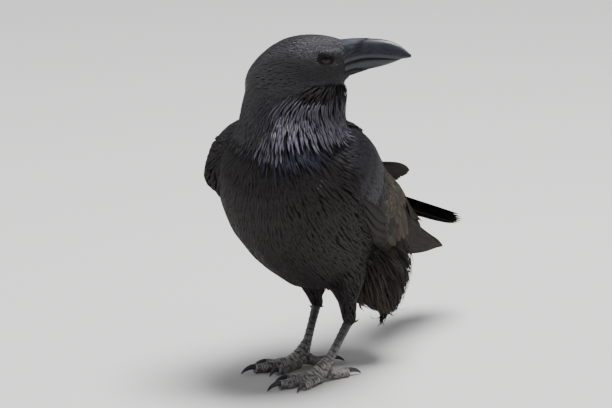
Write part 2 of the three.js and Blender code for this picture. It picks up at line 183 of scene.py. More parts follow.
def read_values(items: bpy.types.bpy_prop_collection, name: str, wide: int, kind: type = float) -> Array:
    """Reads one attribute of each of a mesh's items, in rows of the given width."""
    values = np.empty(len(items) * wide, kind)
    items.foreach_get(name, values)
    return values.reshape(-1, wide)


def register(piece: Object, material: Material) -> Object:
    """Links a piece, gives it its material and sets it on the frame."""
    piece.data.materials.append(material)
    link(piece)
    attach(piece, "root")
    return piece


# ---- Finishes -------------------------------------------------------------------------------

Colour = tuple[float, float, float]


class Graph:
    """Short names for building one node tree."""

    def __init__(self, tree: NodeTree) -> None:
        """Keeps the tree that nodes are added to."""
        self.tree = tree

    def node(self, kind: str, inputs: dict | None = None, **settings: object) -> Node:
        """Adds a node.

        Args:
            kind: The node's type name.
            inputs: Sockets or constant values, by input name or number.
            **settings: Attributes of the node.

        Returns:
            The new node.
        """
        made = self.tree.nodes.new(kind)
        for key, value in settings.items():
            setattr(made, key, value)
        for key, value in (inputs or {}).items():
            if isinstance(value, NodeSocket):
                self.tree.links.new(value, made.inputs[key])
            else:
                made.inputs[key].default_value = value
        return made

    def sum(self, operation: str, *values: object, clamp: bool = False) -> NodeSocket:
        """A Math node's result, from sockets or numbers."""
        made = self.node("ShaderNodeMath", dict(enumerate(values)), operation=operation, use_clamp=clamp)
        return made.outputs[0]

    def ramp(self, value: object, low: float, high: float) -> NodeSocket:
        """A value taken smoothly from 0 at low to 1 at high."""
        inputs = {"Value": value, "From Min": low, "From Max": high}
        made = self.node("ShaderNodeMapRange", inputs, interpolation_type="SMOOTHSTEP")
        return made.outputs["Result"]

    def mix(self, share: object, first: object, second: object) -> NodeSocket:
        """Two colours mixed by a share."""
        made = self.tree.nodes.new("ShaderNodeMix")
        made.data_type = "RGBA"
        for socket, value in ((made.inputs[0], share), (made.inputs[6], first), (made.inputs[7], second)):
            if isinstance(value, NodeSocket):
                self.tree.links.new(value, socket)
            elif isinstance(value, tuple):
                socket.default_value = (*value, 1.0)
            else:
                socket.default_value = value
        return made.outputs[2]

    def feed(self, shader: Node, name: str, value: NodeSocket) -> None:
        """Links a result to one of the shader's inputs."""
        self.tree.links.new(value, shader.inputs[name])

    def bump(self, height: NodeSocket, strength: float, deep: float) -> NodeSocket:
        """A normal bent by a height, which is so many metres deep."""
        inputs = {"Height": height, "Strength": strength, "Distance": deep}
        return self.node("ShaderNodeBump", inputs).outputs[0]


def new_group(name: str, inputs: dict[str, float], outputs: dict[str, str]) -> tuple[NodeTree, Graph]:
    """Starts a shader node group.

    Args:
        name: The group's name.
        inputs: Default value of each float input.
        outputs: Socket type of each output.

    Returns:
        The group and a graph on it that holds its input and output nodes.
    """
    tree = bpy.data.node_groups.new(name, "ShaderNodeTree")
    for key, value in inputs.items():
        tree.interface.new_socket(key, in_out="INPUT", socket_type="NodeSocketFloat").default_value = value
    for key, kind in outputs.items():
        tree.interface.new_socket(key, in_out="OUTPUT", socket_type=kind)
    return tree, Graph(tree)


def vane_group() -> NodeTree:
    """The pattern of one vane: barbs, shaft, worn edge and the feather's own tone."""
    outputs = {"Height": "NodeSocketFloat", "Edge": "NodeSocketFloat", "Tip": "NodeSocketFloat",
               "Tone": "NodeSocketFloat", "Barb": "NodeSocketFloat"}
    tree, g = new_group("Vane", {"Barbs": 30.0, "Slant": 0.35, "Shaft": 0.5}, outputs)
    given = g.node("NodeGroupInput").outputs
    place = g.node("ShaderNodeUVMap", uv_map="Vane").outputs[0]
    apart = g.node("ShaderNodeSeparateXYZ", {0: place}).outputs
    tone = g.node("ShaderNodeAttribute", attribute_name="tone").outputs["Fac"]
    off = g.sum("ABSOLUTE", g.sum("SUBTRACT", apart[0], given["Shaft"]))
    ragged = g.node("ShaderNodeTexNoise", {"Scale": 260.0, "Detail": 2.0}).outputs[0]
    lean = g.sum("SUBTRACT", apart[1], g.sum("MULTIPLY", off, given["Slant"]))
    waved = g.sum("ADD", lean, g.sum("MULTIPLY", ragged, 0.05))
    phase = g.sum("ADD", g.sum("MULTIPLY", waved, given["Barbs"]), g.sum("MULTIPLY", tone, 7.0))
    barb = g.sum("PINGPONG", phase, 0.5)
    shaft = g.ramp(off, 0.05, 0.015)
    height = g.sum("ADD", g.sum("MULTIPLY", barb, 0.5), shaft)
    across = g.sum("ABSOLUTE", g.sum("SUBTRACT", apart[0], 0.5))
    side = g.ramp(g.sum("ADD", across, g.sum("MULTIPLY", ragged, 0.16)), 0.40, 0.56)
    tip = g.ramp(g.sum("ADD", apart[1], g.sum("MULTIPLY", ragged, 0.1)), 0.84, 1.04)
    worn = g.sum("MAXIMUM", side, tip)
    values = {"Height": height, "Edge": worn, "Tip": apart[1], "Tone": tone, "Barb": barb}
    g.node("NodeGroupOutput", values)
    return tree


def mottle_group() -> NodeTree:
    """Slow changes of shade over a surface, with finer grain in them."""
    tree, g = new_group("Mottle", {"Scale": 60.0, "Amount": 0.5}, {"Value": "NodeSocketFloat"})
    given = g.node("NodeGroupInput").outputs
    place = g.node("ShaderNodeTexCoord").outputs["Object"]
    inputs = {"Vector": place, "Scale": given["Scale"], "Detail": 4.0, "Roughness": 0.6}
    noise = g.node("ShaderNodeTexNoise", inputs).outputs[0]
    spread = g.sum("MULTIPLY", g.sum("SUBTRACT", noise, 0.5), given["Amount"])
    g.node("NodeGroupOutput", {"Value": g.sum("ADD", spread, 0.5, clamp=True)})
    return tree


@dataclass
class Workshop:
    """Holds the shared node groups that finishes are made with."""

    vane: NodeTree = field(default_factory=vane_group)
    mottle: NodeTree = field(default_factory=mottle_group)


def begin_material(name: str) -> tuple[Material, Graph, Node]:
    """Starts a material with its Principled shader and output."""
    made = bpy.data.materials.new(name)
    made.use_nodes = True
    made.node_tree.nodes.clear()
    g = Graph(made.node_tree)
    shader = g.node("ShaderNodeBsdfPrincipled")
    g.node("ShaderNodeOutputMaterial", {"Surface": shader.outputs[0]})
    return made, g, shader


@dataclass(frozen=True)
class FeatherFinish:
    """A feather's colours and gloss. Dark and pale are the ends of its range of tones."""

    name: str
    dark: Colour
    pale: Colour
    edge: Colour
    worn: float = 0.5
    gloss: float = 0.5
    tint: Colour = (1.0, 1.0, 1.0)
    barbs: float = 30.0
    bump: float = 0.25
    shaft: float = 0.5
    shine: float = 0.3
    tip: float = 0.0
    fade: float = 0.9

    def make(self, shop: Workshop) -> Material:
        """Builds the material."""
        made, g, shader = begin_material(self.name)
        vane = g.node("ShaderNodeGroup", {"Barbs": self.barbs, "Shaft": self.shaft}, node_tree=shop.vane)
        mottle = g.node("ShaderNodeGroup", {"Scale": 45.0, "Amount": 1.4}, node_tree=shop.mottle)
        tone = g.sum("MULTIPLY", vane.outputs["Tone"], 0.75)
        tone = g.sum("ADD", tone, g.sum("MULTIPLY", vane.outputs["Barb"], 0.3))
        # Tips grow paler by tip: a painted highlight on the hanging tips of the hackles.
        painted_tip_highlight = g.sum("MULTIPLY", g.ramp(vane.outputs["Tip"], 0.25, 0.95), self.tip)
        tone = g.sum("MULTIPLY", tone, g.sum("ADD", painted_tip_highlight, 1.0 - self.tip))
        tone = g.sum("MULTIPLY", tone, g.sum("ADD", mottle.outputs[0], 0.5), clamp=True)
        body = g.mix(tone, self.dark, self.pale)
        wear = g.sum("MULTIPLY", mottle.outputs[0], 2 * self.worn)
        rim = g.sum("MULTIPLY", vane.outputs["Edge"], wear, clamp=True)
        g.feed(shader, "Base Color", g.mix(rim, body, self.edge))
        rough = g.sum("ADD", self.gloss, g.sum("MULTIPLY", vane.outputs["Barb"], 0.24))
        g.feed(shader, "Roughness", g.sum("ADD", rough, g.sum("MULTIPLY", rim, 0.25)))
        shader.inputs["Specular Tint"].default_value = (*self.tint, 1.0)
        facing = g.node("ShaderNodeLayerWeight", {"Blend": 0.5}).outputs["Facing"]
        faded = g.sum("MULTIPLY", g.ramp(facing, 0.25, 0.85), -self.fade * self.shine)
        g.feed(shader, "Specular IOR Level", g.sum("ADD", faded, self.shine))
        g.feed(shader, "Normal", g.bump(vane.outputs["Height"], self.bump, 0.0004))
        return made


@dataclass(frozen=True)
class HornFinish:
    """Horn of the bill or claws: fine growth lines along it, scuffs and a soft gloss."""

    name: str
    dark: Colour
    pale: Colour
    gloss: float
    bump: float = 0.12

    def make(self, shop: Workshop) -> Material:
        """Builds the material."""
        made, g, shader = begin_material(self.name)
        place = g.node("ShaderNodeUVMap", uv_map="Form").outputs[0]
        stretch = g.node("ShaderNodeMapping", {"Vector": place, "Scale": (26.0, 3.0, 1.0)}).outputs[0]
        grain = g.node("ShaderNodeTexNoise", {"Vector": stretch, "Scale": 6.0, "Detail": 5.0}).outputs[0]
        spots = g.node("ShaderNodeTexCoord").outputs["Object"]
        scuff = g.node("ShaderNodeTexNoise", {"Vector": spots, "Scale": 420.0, "Detail": 4.0}).outputs[0]
        mottle = g.node("ShaderNodeGroup", {"Scale": 90.0, "Amount": 1.8}, node_tree=shop.mottle)
        tone = g.sum("MULTIPLY", mottle.outputs[0], g.ramp(grain, 0.3, 0.75))
        g.feed(shader, "Base Color", g.mix(tone, self.dark, self.pale))
        wear = g.sum("MULTIPLY", g.ramp(scuff, 0.5, 0.75), 0.25)
        rough = g.sum("ADD", self.gloss, g.sum("ADD", wear, g.sum("MULTIPLY", mottle.outputs[0], 0.16)))
        g.feed(shader, "Roughness", rough)
        height = g.sum("ADD", grain, g.sum("MULTIPLY", scuff, 0.4))
        g.feed(shader, "Normal", g.bump(height, self.bump, 0.0006))
        return made


@dataclass(frozen=True)
class ScaleFinish:
    """Scaled skin of the legs and toes: dull plates with painted shade in their creases, and dust that is
    partly a painted highlight near the ground.
    """

    name: str
    dark: Colour
    pale: Colour
    # The crease colour is painted shade in the creases between plates and cells.
    crease: Colour
    cells: float = 620.0
    # Dust colour that is partly a painted highlight, lightening the toes near the ground.
    dust_and_highlight: Colour = (0.40, 0.37, 0.345)
    dust_and_highlight_share: float = 0.0
    shine: float = 0.5

    def make(self, shop: Workshop) -> Material:
        """Builds the material."""
        made, g, shader = begin_material(self.name)
        place = g.node("ShaderNodeTexCoord").outputs["Object"]
        cells = g.node("ShaderNodeTexVoronoi", {"Vector": place, "Scale": self.cells},
                       feature="DISTANCE_TO_EDGE")
        wrapped = g.node("ShaderNodeUVMap", uv_map="Form").outputs[0]
        form = g.node("ShaderNodeSeparateXYZ", {0: wrapped}).outputs
        front = g.ramp(g.sum("SINE", g.sum("MULTIPLY", form[0], math.tau)), -0.1, 0.3)
        band = g.ramp(g.sum("PINGPONG", form[1], 0.5), 0.0, 0.16)
        band = g.sum("SUBTRACT", 1.0, g.sum("MULTIPLY", front, g.sum("SUBTRACT", 1.0, band)))
        scale = g.sum("MAXIMUM", g.ramp(cells.outputs["Distance"], 0.0, 0.16), g.sum("MULTIPLY", front, 0.8))
        plate = g.sum("MINIMUM", band, scale)
        mottle = g.node("ShaderNodeGroup", {"Scale": 130.0, "Amount": 2.0}, node_tree=shop.mottle)
        body = g.mix(mottle.outputs[0], self.dark, self.pale)
        # Paler near the ground: dust on the toes, and a painted highlight lifting them out of the body's
        # shade.
        low = g.ramp(g.node("ShaderNodeSeparateXYZ", {0: place}).outputs[2], 0.045, 0.006)
        dust_and_highlight_noise = g.node("ShaderNodeTexNoise", {"Vector": place, "Scale": 260.0, "Detail": 4.0}).outputs[0]
        share = g.sum("MULTIPLY", g.sum("MULTIPLY", low, g.ramp(dust_and_highlight_noise, 0.25, 0.62)), self.dust_and_highlight_share)
        body = g.mix(share, body, self.dust_and_highlight)
        # Painted shade fills the creases between plates.
        g.feed(shader, "Base Color", g.mix(plate, self.crease, body))
        shader.inputs["Specular IOR Level"].default_value = self.shine
        rough = g.sum("ADD", 0.42, g.sum("MULTIPLY", mottle.outputs[0], 0.3))
        g.feed(shader, "Roughness", rough)
        height = g.sum("ADD", plate, g.sum("MULTIPLY", mottle.outputs[0], 0.5))
        g.feed(shader, "Normal", g.bump(height, 0.45, 0.0003))
        return made


@dataclass(frozen=True)
class EyeFinish:
    """A wet eye: a black pupil in a brown iris with fine rays, then dark white of the eye."""

    name: str
    iris: Colour
    rays: Colour
    white: Colour
    rough: float = 0.16
    shine: float = 0.2
    film: float = 0.12
    film_rough: float = 0.04

    def make(self, shop: Workshop) -> Material:
        """Builds the material."""
        made, g, shader = begin_material(self.name)
        place = g.node("ShaderNodeUVMap", uv_map="Form").outputs[0]
        apart = g.node("ShaderNodeSeparateXYZ", {0: place}).outputs
        stretch = g.node("ShaderNodeMapping", {"Vector": place, "Scale": (60.0, 5.0, 1.0)}).outputs[0]
        rays = g.node("ShaderNodeTexNoise", {"Vector": stretch, "Scale": 2.0, "Detail": 3.0}).outputs[0]
        mottle = g.node("ShaderNodeGroup", {"Scale": 700.0, "Amount": 1.0}, node_tree=shop.mottle)
        iris = g.mix(g.sum("MULTIPLY", rays, mottle.outputs[0]), self.iris, self.rays)
        seen = g.mix(g.ramp(apart[1], 0.105, 0.12), (0.0015, 0.0015, 0.002), iris)
        g.feed(shader, "Base Color", g.mix(g.ramp(apart[1], 0.2, 0.23), seen, self.white))
        values = {"Roughness": self.rough, "Specular IOR Level": self.shine, "Coat Weight": self.film,
                  "Coat Roughness": self.film_rough}
        for key, value in values.items():
            shader.inputs[key].default_value = value
        return made


# ---- Forms of the bird ----------------------------------------------------------------------


@dataclass
class Wing:
    """One folded wing as a surface, which is slimmer at its waist.

    Places run from the bend of the wing (0) to its tip (1), and from the edge on the back (0) to
    the lower edge (1). Rows of the table are x, y, z, lean, out, up, top angle, bottom angle.
    """

    name: str
    side: int
    bend: tuple[float, float, float]
    tip: tuple[float, float, float]
    slim: float
    blunt: float
    level: float
    narrow: float
    square: float = 2.6
    waist: float = 0.34
    waist_half: float = 0.18
    table: tuple[tuple[float, ...], ...] = (
        (0, -86, 220, 30, 54, 40, 70, 4),
        (0, -62, 214, 34, 82, 54, 74, -16),
        (0, -28, 194, 36, 82, 63, 78, -22),
        (0, 8, 171, 38, 76, 64, 80, -28),
        (0, 44, 148, 40, 63, 55, 80, -28),
        (2, 84, 127, 42, 48, 42, 48, -28),
        (4, 124, 110, 44, 36, 30, 58, -26),
        (6, 162, 97, 44, 26, 21, 62, -20),
        (9, 194, 88, 44, 15, 13, 60, -14),
        (12, 218, 80, 44, 6, 7, 54, -8),
    )

    def at(self, reach: Array, across: Array, deep: Array) -> Array:
        """Points on the wing.

        Args:
            reach: Places from bend to tip.
            across: Places from the back edge to the lower edge.
            deep: Depths under the surface.

        Returns:
            One point for each place, in the shape that the places have.
        """
        reach, across, deep = np.broadcast_arrays(reach, across, deep)
        shape = reach.shape
        s, t, d = reach.ravel(), across.ravel(), deep.ravel()
        x, y, z, lean, out, up, top, bottom = stations(self.table, s).T
        angle = np.radians(top + (bottom - top) * t)
        away = np.minimum(np.abs(s - self.waist) / self.waist_half, 1.0)
        inset = d + self.slim * np.cos(away * math.pi / 2) ** 2 * (1 - t * t)
        cos, sin = np.cos(angle), np.sin(angle)
        wide = np.sign(cos) * np.abs(cos) ** (2 / self.square) * np.maximum(out - inset, 0.3)
        rise = np.sign(sin) * np.abs(sin) ** (2 / self.square) * np.maximum(up - inset, 0.3)
        lean = np.radians(lean)
        lifted = ease(s, 0.2, 0.85)
        points = np.stack([x + wide, y + rise * np.sin(lean), z + rise * np.cos(lean)], axis=-1)
        points += np.array(self.bend) + lifted[:, None] * np.array(self.tip)
        points[:, 0] *= self.side
        return points.reshape(*shape, 3)

    def frame_at(self, reach: Array, across: Array, deep: Array) -> tuple[Array, Array, Array]:
        """Points on the wing with the way to the tip and the way out of the surface.

        Args:
            reach: Places from bend to tip.
            across: Places from the back edge to the lower edge.
            deep: Depths under the surface.

        Returns:
            Points, unit vectors towards the tip and unit normals.
        """
        small = 0.004
        points = self.at(reach, across, deep)
        ahead = unit(self.at(reach + small, across, deep) - self.at(reach - small, across, deep))
        down = self.at(reach, across + small, deep) - self.at(reach, across - small, deep)
        normals = unit(np.cross(down, ahead)) * self.side
        return points, ahead, normals


WINGS = (
    Wing("left", 1, (-6, 8, 0), (5, -2, -3.5), 12, 0.78, 1, 0.5),
    Wing("right", -1, (2, 0, 0), (15, 21, 56), 0, 0.98, 8.0, 0.04),
)


@dataclass
class Ground:
    """A surface that feathers grow on, with the nodes its parts came from."""

    points: Array
    normals: Array
    triangles: Array
    labels: Array
    names: list[str]
    unwrap: Array
    tree: BVHTree

    def drop(self, points: Array) -> tuple[Array, Array, Array]:
        """Takes points to the nearest places on the surface.

        Args:
            points: Points in millimetres.

        Returns:
            The places, their normals and the numbers of their triangles.
        """
        places, normals = np.empty_like(points), np.empty_like(points)
        numbers = np.empty(len(points), int)
        for i, point in enumerate(points):
            place, _, number, _ = self.tree.find_nearest(Vector(point))
            places[i] = place
            numbers[i] = number
        normals = unit(self.normals[self.triangles[numbers]].mean(axis=1))
        return places, normals, numbers


@dataclass
class Spots:
    """Places on a ground where feathers are rooted."""

    points: Array
    normals: Array
    numbers: Array

    def only(self, keep: Array) -> "Spots":
        """Those of the places that a mask or an order names."""
        return Spots(self.points[keep], self.normals[keep], self.numbers[keep])

    @property
    def along(self) -> Array:
        """Places along the bill's line, from the middle of the head."""
        return (self.points - HEAD_AT) @ FORWARD

    @property
    def aside(self) -> Array:
        """Places across the body, from its middle to its left."""
        return self.points[:, 0]

    @property
    def back(self) -> Array:
        """Places back along the body."""
        return self.points[:, 1]

    @property
    def height(self) -> Array:
        """Heights above the ground."""
        return self.points[:, 2]


FLESH = ("head", "neck", "trunk", "vent_feathers", "thigh_right", "thigh_left",
         "wing_right_coverts", "wing_left_coverts")


@dataclass
class Skin:
    """The one skin under all the body's feathers."""

    swollen: float = 0.0003  # in metres
    voxel: float = 2.8
    smoothing: int = 5
    blending: int = 8
    finishing: int = 2
    hanging: float = 7.0
    brow_height: float = 1.3
    lore_depth: float = 1.1
    brow_reach: float = 30.0
    depths: dict[str, float] = field(default_factory=lambda: {
        "head": 1.5, "neck": 3.4, "trunk": 3.0, "vent_feathers": 4.5, "thigh_right": 2.0,
        "thigh_left": 2.0, "wing_right_coverts": 0.4, "wing_left_coverts": 1.2,
    })

    def flesh(self) -> tuple[Object, list[str]]:
        """Joins the nodes of flesh, each a little swollen so that they meet.

        Returns:
            An unlinked object of the joined nodes, and the node of each of its faces.
        """
        joined = bmesh.new()
        owners: list[str] = []
        for name in (*FLESH, "eye_right", "eye_left"):
            part = bmesh.new()
            part.from_mesh(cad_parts[name].data)
            bmesh.ops.remove_doubles(part, verts=part.verts, dist=1e-6)
            part.normal_update()
            for vert in part.verts:
                vert.co += vert.normal * self.swollen
            mesh = bpy.data.meshes.new("part")
            part.to_mesh(mesh)
            part.free()
            joined.from_mesh(mesh)
            owners += ["head" if name.startswith("eye") else name] * len(mesh.polygons)
            bpy.data.meshes.remove(mesh)
        mesh = bpy.data.meshes.new("flesh")
        joined.to_mesh(mesh)
        joined.free()
        return bpy.data.objects.new("flesh", mesh), owners

    def build(self, material: Material) -> tuple[Object, Ground]:
        """Makes the skin.

        Args:
            material: Its finish.

        Returns:
            The piece, and the ground that feathers are planted on.
        """
        flesh, owners = self.flesh()
        link(flesh)
        remesh = flesh.modifiers.new("Remesh", "REMESH")
        remesh.mode = "VOXEL"
        remesh.voxel_size = self.voxel * MM
        mesh = bpy.data.meshes.new_from_object(flesh.evaluated_get(bpy.context.evaluated_depsgraph_get()))
        nearest = BVHTree.FromPolygons([v.co for v in flesh.data.vertices],
                                       [p.vertices[:] for p in flesh.data.polygons])
        bpy.data.objects.remove(flesh)
        bm = bmesh.new()
        bm.from_mesh(mesh)
        relax(bm, self.smoothing)
        bm.normal_update()
        self.sink(bm, nearest, owners)
        self.brow(bm)
        bmesh.ops.triangulate(bm, faces=bm.faces)
        bm.to_mesh(mesh)
        bm.free()
        piece = make_skin_piece(mesh, material)
        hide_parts(*FLESH)
        return piece, self.ground(piece, nearest, owners)

    def sink(self, bm: BMesh, nearest: BVHTree, owners: list[str]) -> None:
        """Moves the surface in by the depth of the coat, which changes smoothly between nodes."""
        verts = list(bm.verts)
        names = np.array([owners[nearest.find_nearest(v.co)[2]] for v in verts])
        depth = np.array([self.depths[name] for name in names])
        height = np.array([v.co.z for v in verts]) / MM
        depth += (names == "vent_feathers") * self.hanging * ease(-height, -115, -50)
        edges = np.array([[v.index for v in e.verts] for e in bm.edges])
        count = np.bincount(edges.ravel(), minlength=len(verts))
        for _ in range(self.blending):
            total = np.bincount(edges[:, 0], depth[edges[:, 1]], len(verts))
            total += np.bincount(edges[:, 1], depth[edges[:, 0]], len(verts))
            depth = (depth + total) / (1 + count)
        for vert, inward in zip(verts, depth * MM):
            vert.co -= vert.normal * inward
        relax(bm, self.finishing)

    def brow(self, bm: BMesh) -> None:
        """Raises a brow over each eye and sinks the lore in front of it."""
        eyes = Eyes()
        for vert in bm.verts:
            local = np.array(vert.co) / MM - FEET
            ahead, above = eyes.offsets(local)
            if abs((local - HEAD_AT) @ CHEEK) < eyes.out / 2 or np.hypot(ahead, above) > self.brow_reach:
                continue
            raised = self.brow_height * math.exp(-(((ahead + 1) / 7) ** 2) - ((above - 7.5) / 3) ** 2)
            sunk = self.lore_depth * math.exp(-(((ahead - 9) / 5) ** 2) - ((above + 1) / 5) ** 2)
            vert.co += vert.normal * (raised - sunk) * MM

    def ground(self, piece: Object, nearest: BVHTree, owners: list[str]) -> Ground:
        """Reads the finished skin as a ground for feathers."""
        mesh = piece.data
        local = read_values(mesh.vertices, "co", 3) / MM - FEET
        normals = read_values(mesh.vertices, "normal", 3)
        triangles = read_values(mesh.loops, "vertex_index", 1, int).reshape(-1, 3)
        unwrap = read_values(mesh.uv_layers["OFBake"].uv, "vector", 2).reshape(-1, 3, 2)
        names = sorted(set(owners))
        centres = (local[triangles].mean(axis=1) + FEET) * MM
        labels = np.array([names.index(owners[nearest.find_nearest(Vector(c))[2]]) for c in centres])
        tree = BVHTree.FromPolygons(local.tolist(), triangles.tolist())
        return Ground(local, normals, triangles, labels, names, unwrap, tree)


def make_skin_piece(mesh: Mesh, material: Material) -> Object:
    """Makes the skin's object and unwraps it.

    Args:
        mesh: The skin's triangles.
        material: Its finish.

    Returns:
        The piece, with its unwrap in the map OFBake.
    """
    mesh.polygons.foreach_set("use_smooth", np.ones(len(mesh.polygons), bool))
    piece = register(bpy.data.objects.new("skin", mesh), material)
    mesh.uv_layers.new(name="OFBake")
    bpy.context.view_layer.objects.active = piece
    piece.select_set(True)
    bpy.ops.object.mode_set(mode="EDIT")
    bpy.ops.mesh.select_all(action="SELECT")
    bpy.ops.uv.smart_project(angle_limit=math.radians(66), island_margin=0.003)
    bpy.ops.object.mode_set(mode="OBJECT")
    piece.select_set(False)
    return piece


# ---- Feathers -------------------------------------------------------------------------------


class Outline(Enum):
    """How a vane's width changes from root to tip: the widest place and the bluntness."""

    ROUND = (0.62, 0.72)
    BROAD = (0.6, 0.5)
    LANCE = (0.42, 1.0)
    HACKLE = (0.5, 0.8)
    BRISTLE = (0.3, 1.0)
    WISP = (0.55, 1.1)
    QUILL = (0.70, 0.40)
    PRIMARY = (0.55, 0.72)

    def width(self, along: Array) -> Array:
        """Share of the full width at each place."""
        widest, power = self.value
        bent = along ** (math.log(0.5) / math.log(widest))
        return np.maximum(np.sin(math.pi * bent), 0.0) ** power


@dataclass(frozen=True)
class Vane:
    """The mesh that every feather of one kind is a copy of."""

    outline: Outline
    around: int = 4
    rows: int = 5
    thick: float = 0.25
    camber: float = 0.12
    ridge: float = 0.0

    def template(self) -> tuple[Array, Array, Array, Array, list[tuple[int, ...]]]:
        """Shapes the mesh from a ball.

        Returns:
            For each point its row, place along and place across, its height above the middle,
            and then the faces.
        """
        bm = bmesh.new()
        bmesh.ops.create_uvsphere(bm, u_segments=self.around, v_segments=self.rows, radius=1.0)
        bm.verts.ensure_lookup_table()
        at = np.array([v.co for v in bm.verts])
        faces = [tuple(v.index for v in f.verts) for f in bm.faces]
        bm.free()
        polar = np.arccos(np.clip(at[:, 2], -1.0, 1.0)) / math.pi
        row = np.rint(polar * self.rows).astype(int)
        along = self.places()[row]
        angle = np.arctan2(at[:, 1], at[:, 0])
        inside = (row > 0) & (row < self.rows)
        across = np.where(inside, np.cos(angle), 0.0)
        middle = np.exp(-((across / 0.3) ** 2)) * (np.sin(angle) > 0.1) * self.ridge
        height = np.where(inside, np.sin(angle) * self.thick / 2 + middle, 0.0)
        return row, along, across, height, faces

    def places(self) -> Array:
        """Places of the rows along the vane, closer together towards its tip."""
        return 1.0 - (1.0 - np.arange(self.rows + 1) / self.rows) ** 1.3


@dataclass
class Plumes:
    """A batch of feathers as curves over the body, one row of arrays for each feather."""

    points: Array
    ahead: Array
    normals: Array
    widths: Array
    tones: Array
    patches: Array
    roll: Array


@dataclass
class Coat:
    """One piece of many feathers of the same kind."""

    name: str
    vane: Vane
    slot: str = "body_feathers"
    patch: float = 0.003
    mirrored: bool = False

    def build(self, plumes: Sequence[Plumes], material: Material) -> Object:
        """Makes the piece from its batches of feathers.

        Args:
            plumes: The batches.
            material: The feathers' finish.

        Returns:
            The piece, with the maps Vane and OFBake.
        """
        row, along, across, height, faces = self.vane.template()
        if not self.mirrored:
            faces = [face[::-1] for face in faces]
        count = len(row)
        parts = [self.shape(batch, row, along, across, height) for batch in plumes]
        points = np.concatenate(parts)
        feathers = len(points) // count
        loops = np.array([i for face in faces for i in face])
        sizes = np.array([len(face) for face in faces])
        step = np.arange(feathers)[:, None]
        corners = (step * count + loops).ravel()
        mesh = bpy.data.meshes.new(self.name)
        mesh.vertices.add(len(points))
        mesh.vertices.foreach_set("co", ((points + FEET) * MM).ravel())
        mesh.loops.add(len(corners))
        mesh.loops.foreach_set("vertex_index", corners)
        starts = np.concatenate([[0], np.cumsum(sizes)[:-1]])
        mesh.polygons.add(feathers * len(faces))
        mesh.polygons.foreach_set("loop_start", (step * len(loops) + starts).ravel())
        mesh.polygons.foreach_set("use_smooth", np.ones(feathers * len(faces), bool))
        place = np.stack([(across + 1) / 2, along], axis=-1)[loops]
        mesh.uv_layers.new(name="Vane").uv.foreach_set("vector", np.tile(place, (feathers, 1)).ravel())
        patches = np.concatenate([batch.patches for batch in plumes])
        small = patches[:, None, :] + (place - 0.5)[None] * self.patch
        mesh.uv_layers.new(name="OFBake").uv.foreach_set("vector", small.ravel())
        tones = np.concatenate([batch.tones for batch in plumes])
        mesh.attributes.new("tone", "FLOAT", "POINT").data.foreach_set("value", np.repeat(tones, count))
        mesh.update(calc_edges=True)
        mesh.validate()
        LOG.info("%s: %d feathers, %d triangles", self.name, feathers, feathers * int((sizes - 2).sum()))
        return register(bpy.data.objects.new(self.name, mesh), material)

    def shape(self, batch: Plumes, row: Array, along: Array, across: Array, height: Array) -> Array:
        """Bends the vane over each feather's curve.

        Args:
            batch: The feathers.
            row: The row of each point of the vane.
            along: Its place along the vane.
            across: Its place across the vane.
            height: Its height above the vane's middle.

        Returns:
            Every feather's points, one after another.
        """
        base, ahead, normal = batch.points[:, row], batch.ahead[:, row], batch.normals[:, row]
        sideways = unit(np.cross(normal, ahead)) * (-1 if self.mirrored else 1)
        half = batch.widths[:, None] / 2 * self.vane.outline.width(along) * across
        drop = self.vane.camber * batch.widths[:, None] * across**2 * self.vane.outline.width(along)
        rise = height + batch.roll[:, None] * across * self.vane.outline.width(along) - drop
        return (base + sideways * half[..., None] + normal * rise[..., None]).reshape(-1, 3)


Mask = Callable[[Spots], Array]


def everywhere(spots: Spots) -> Array:
    """A mask or a scale of one for every place."""
    return np.ones(len(spots.points))


@dataclass(frozen=True)
class Tract:
    """A stretch of the coat: where it grows and how its feathers are."""

    nodes: tuple[str, ...]
    length: float
    width: float
    spacing: float
    lift: tuple[float, float] = (0.2, 1.6)
    stiff: float = 0.3
    loose: float = 0.0
    unruly: float = 6.0
    uneven: float = 0.15
    where: Mask = everywhere
    size: Mask = everywhere
    # Shade scales the tones by place; it carries painted light and shade.
    shade: Mask = everywhere
    tone: tuple[float, float] = (0.2, 0.8)


# The body's lie: places back along it, and the slope of its feathers there in degrees.
SLOPES = ((-90, -46, 22, 60, 118), (44, 37, 28, 16, 0))
NECK_LIE = (0.0, 0.12, -1.0)
VENT_LIE = (0.16, 0.40, -0.90)
THIGH_LIE = (0.0, 0.42, -0.9)


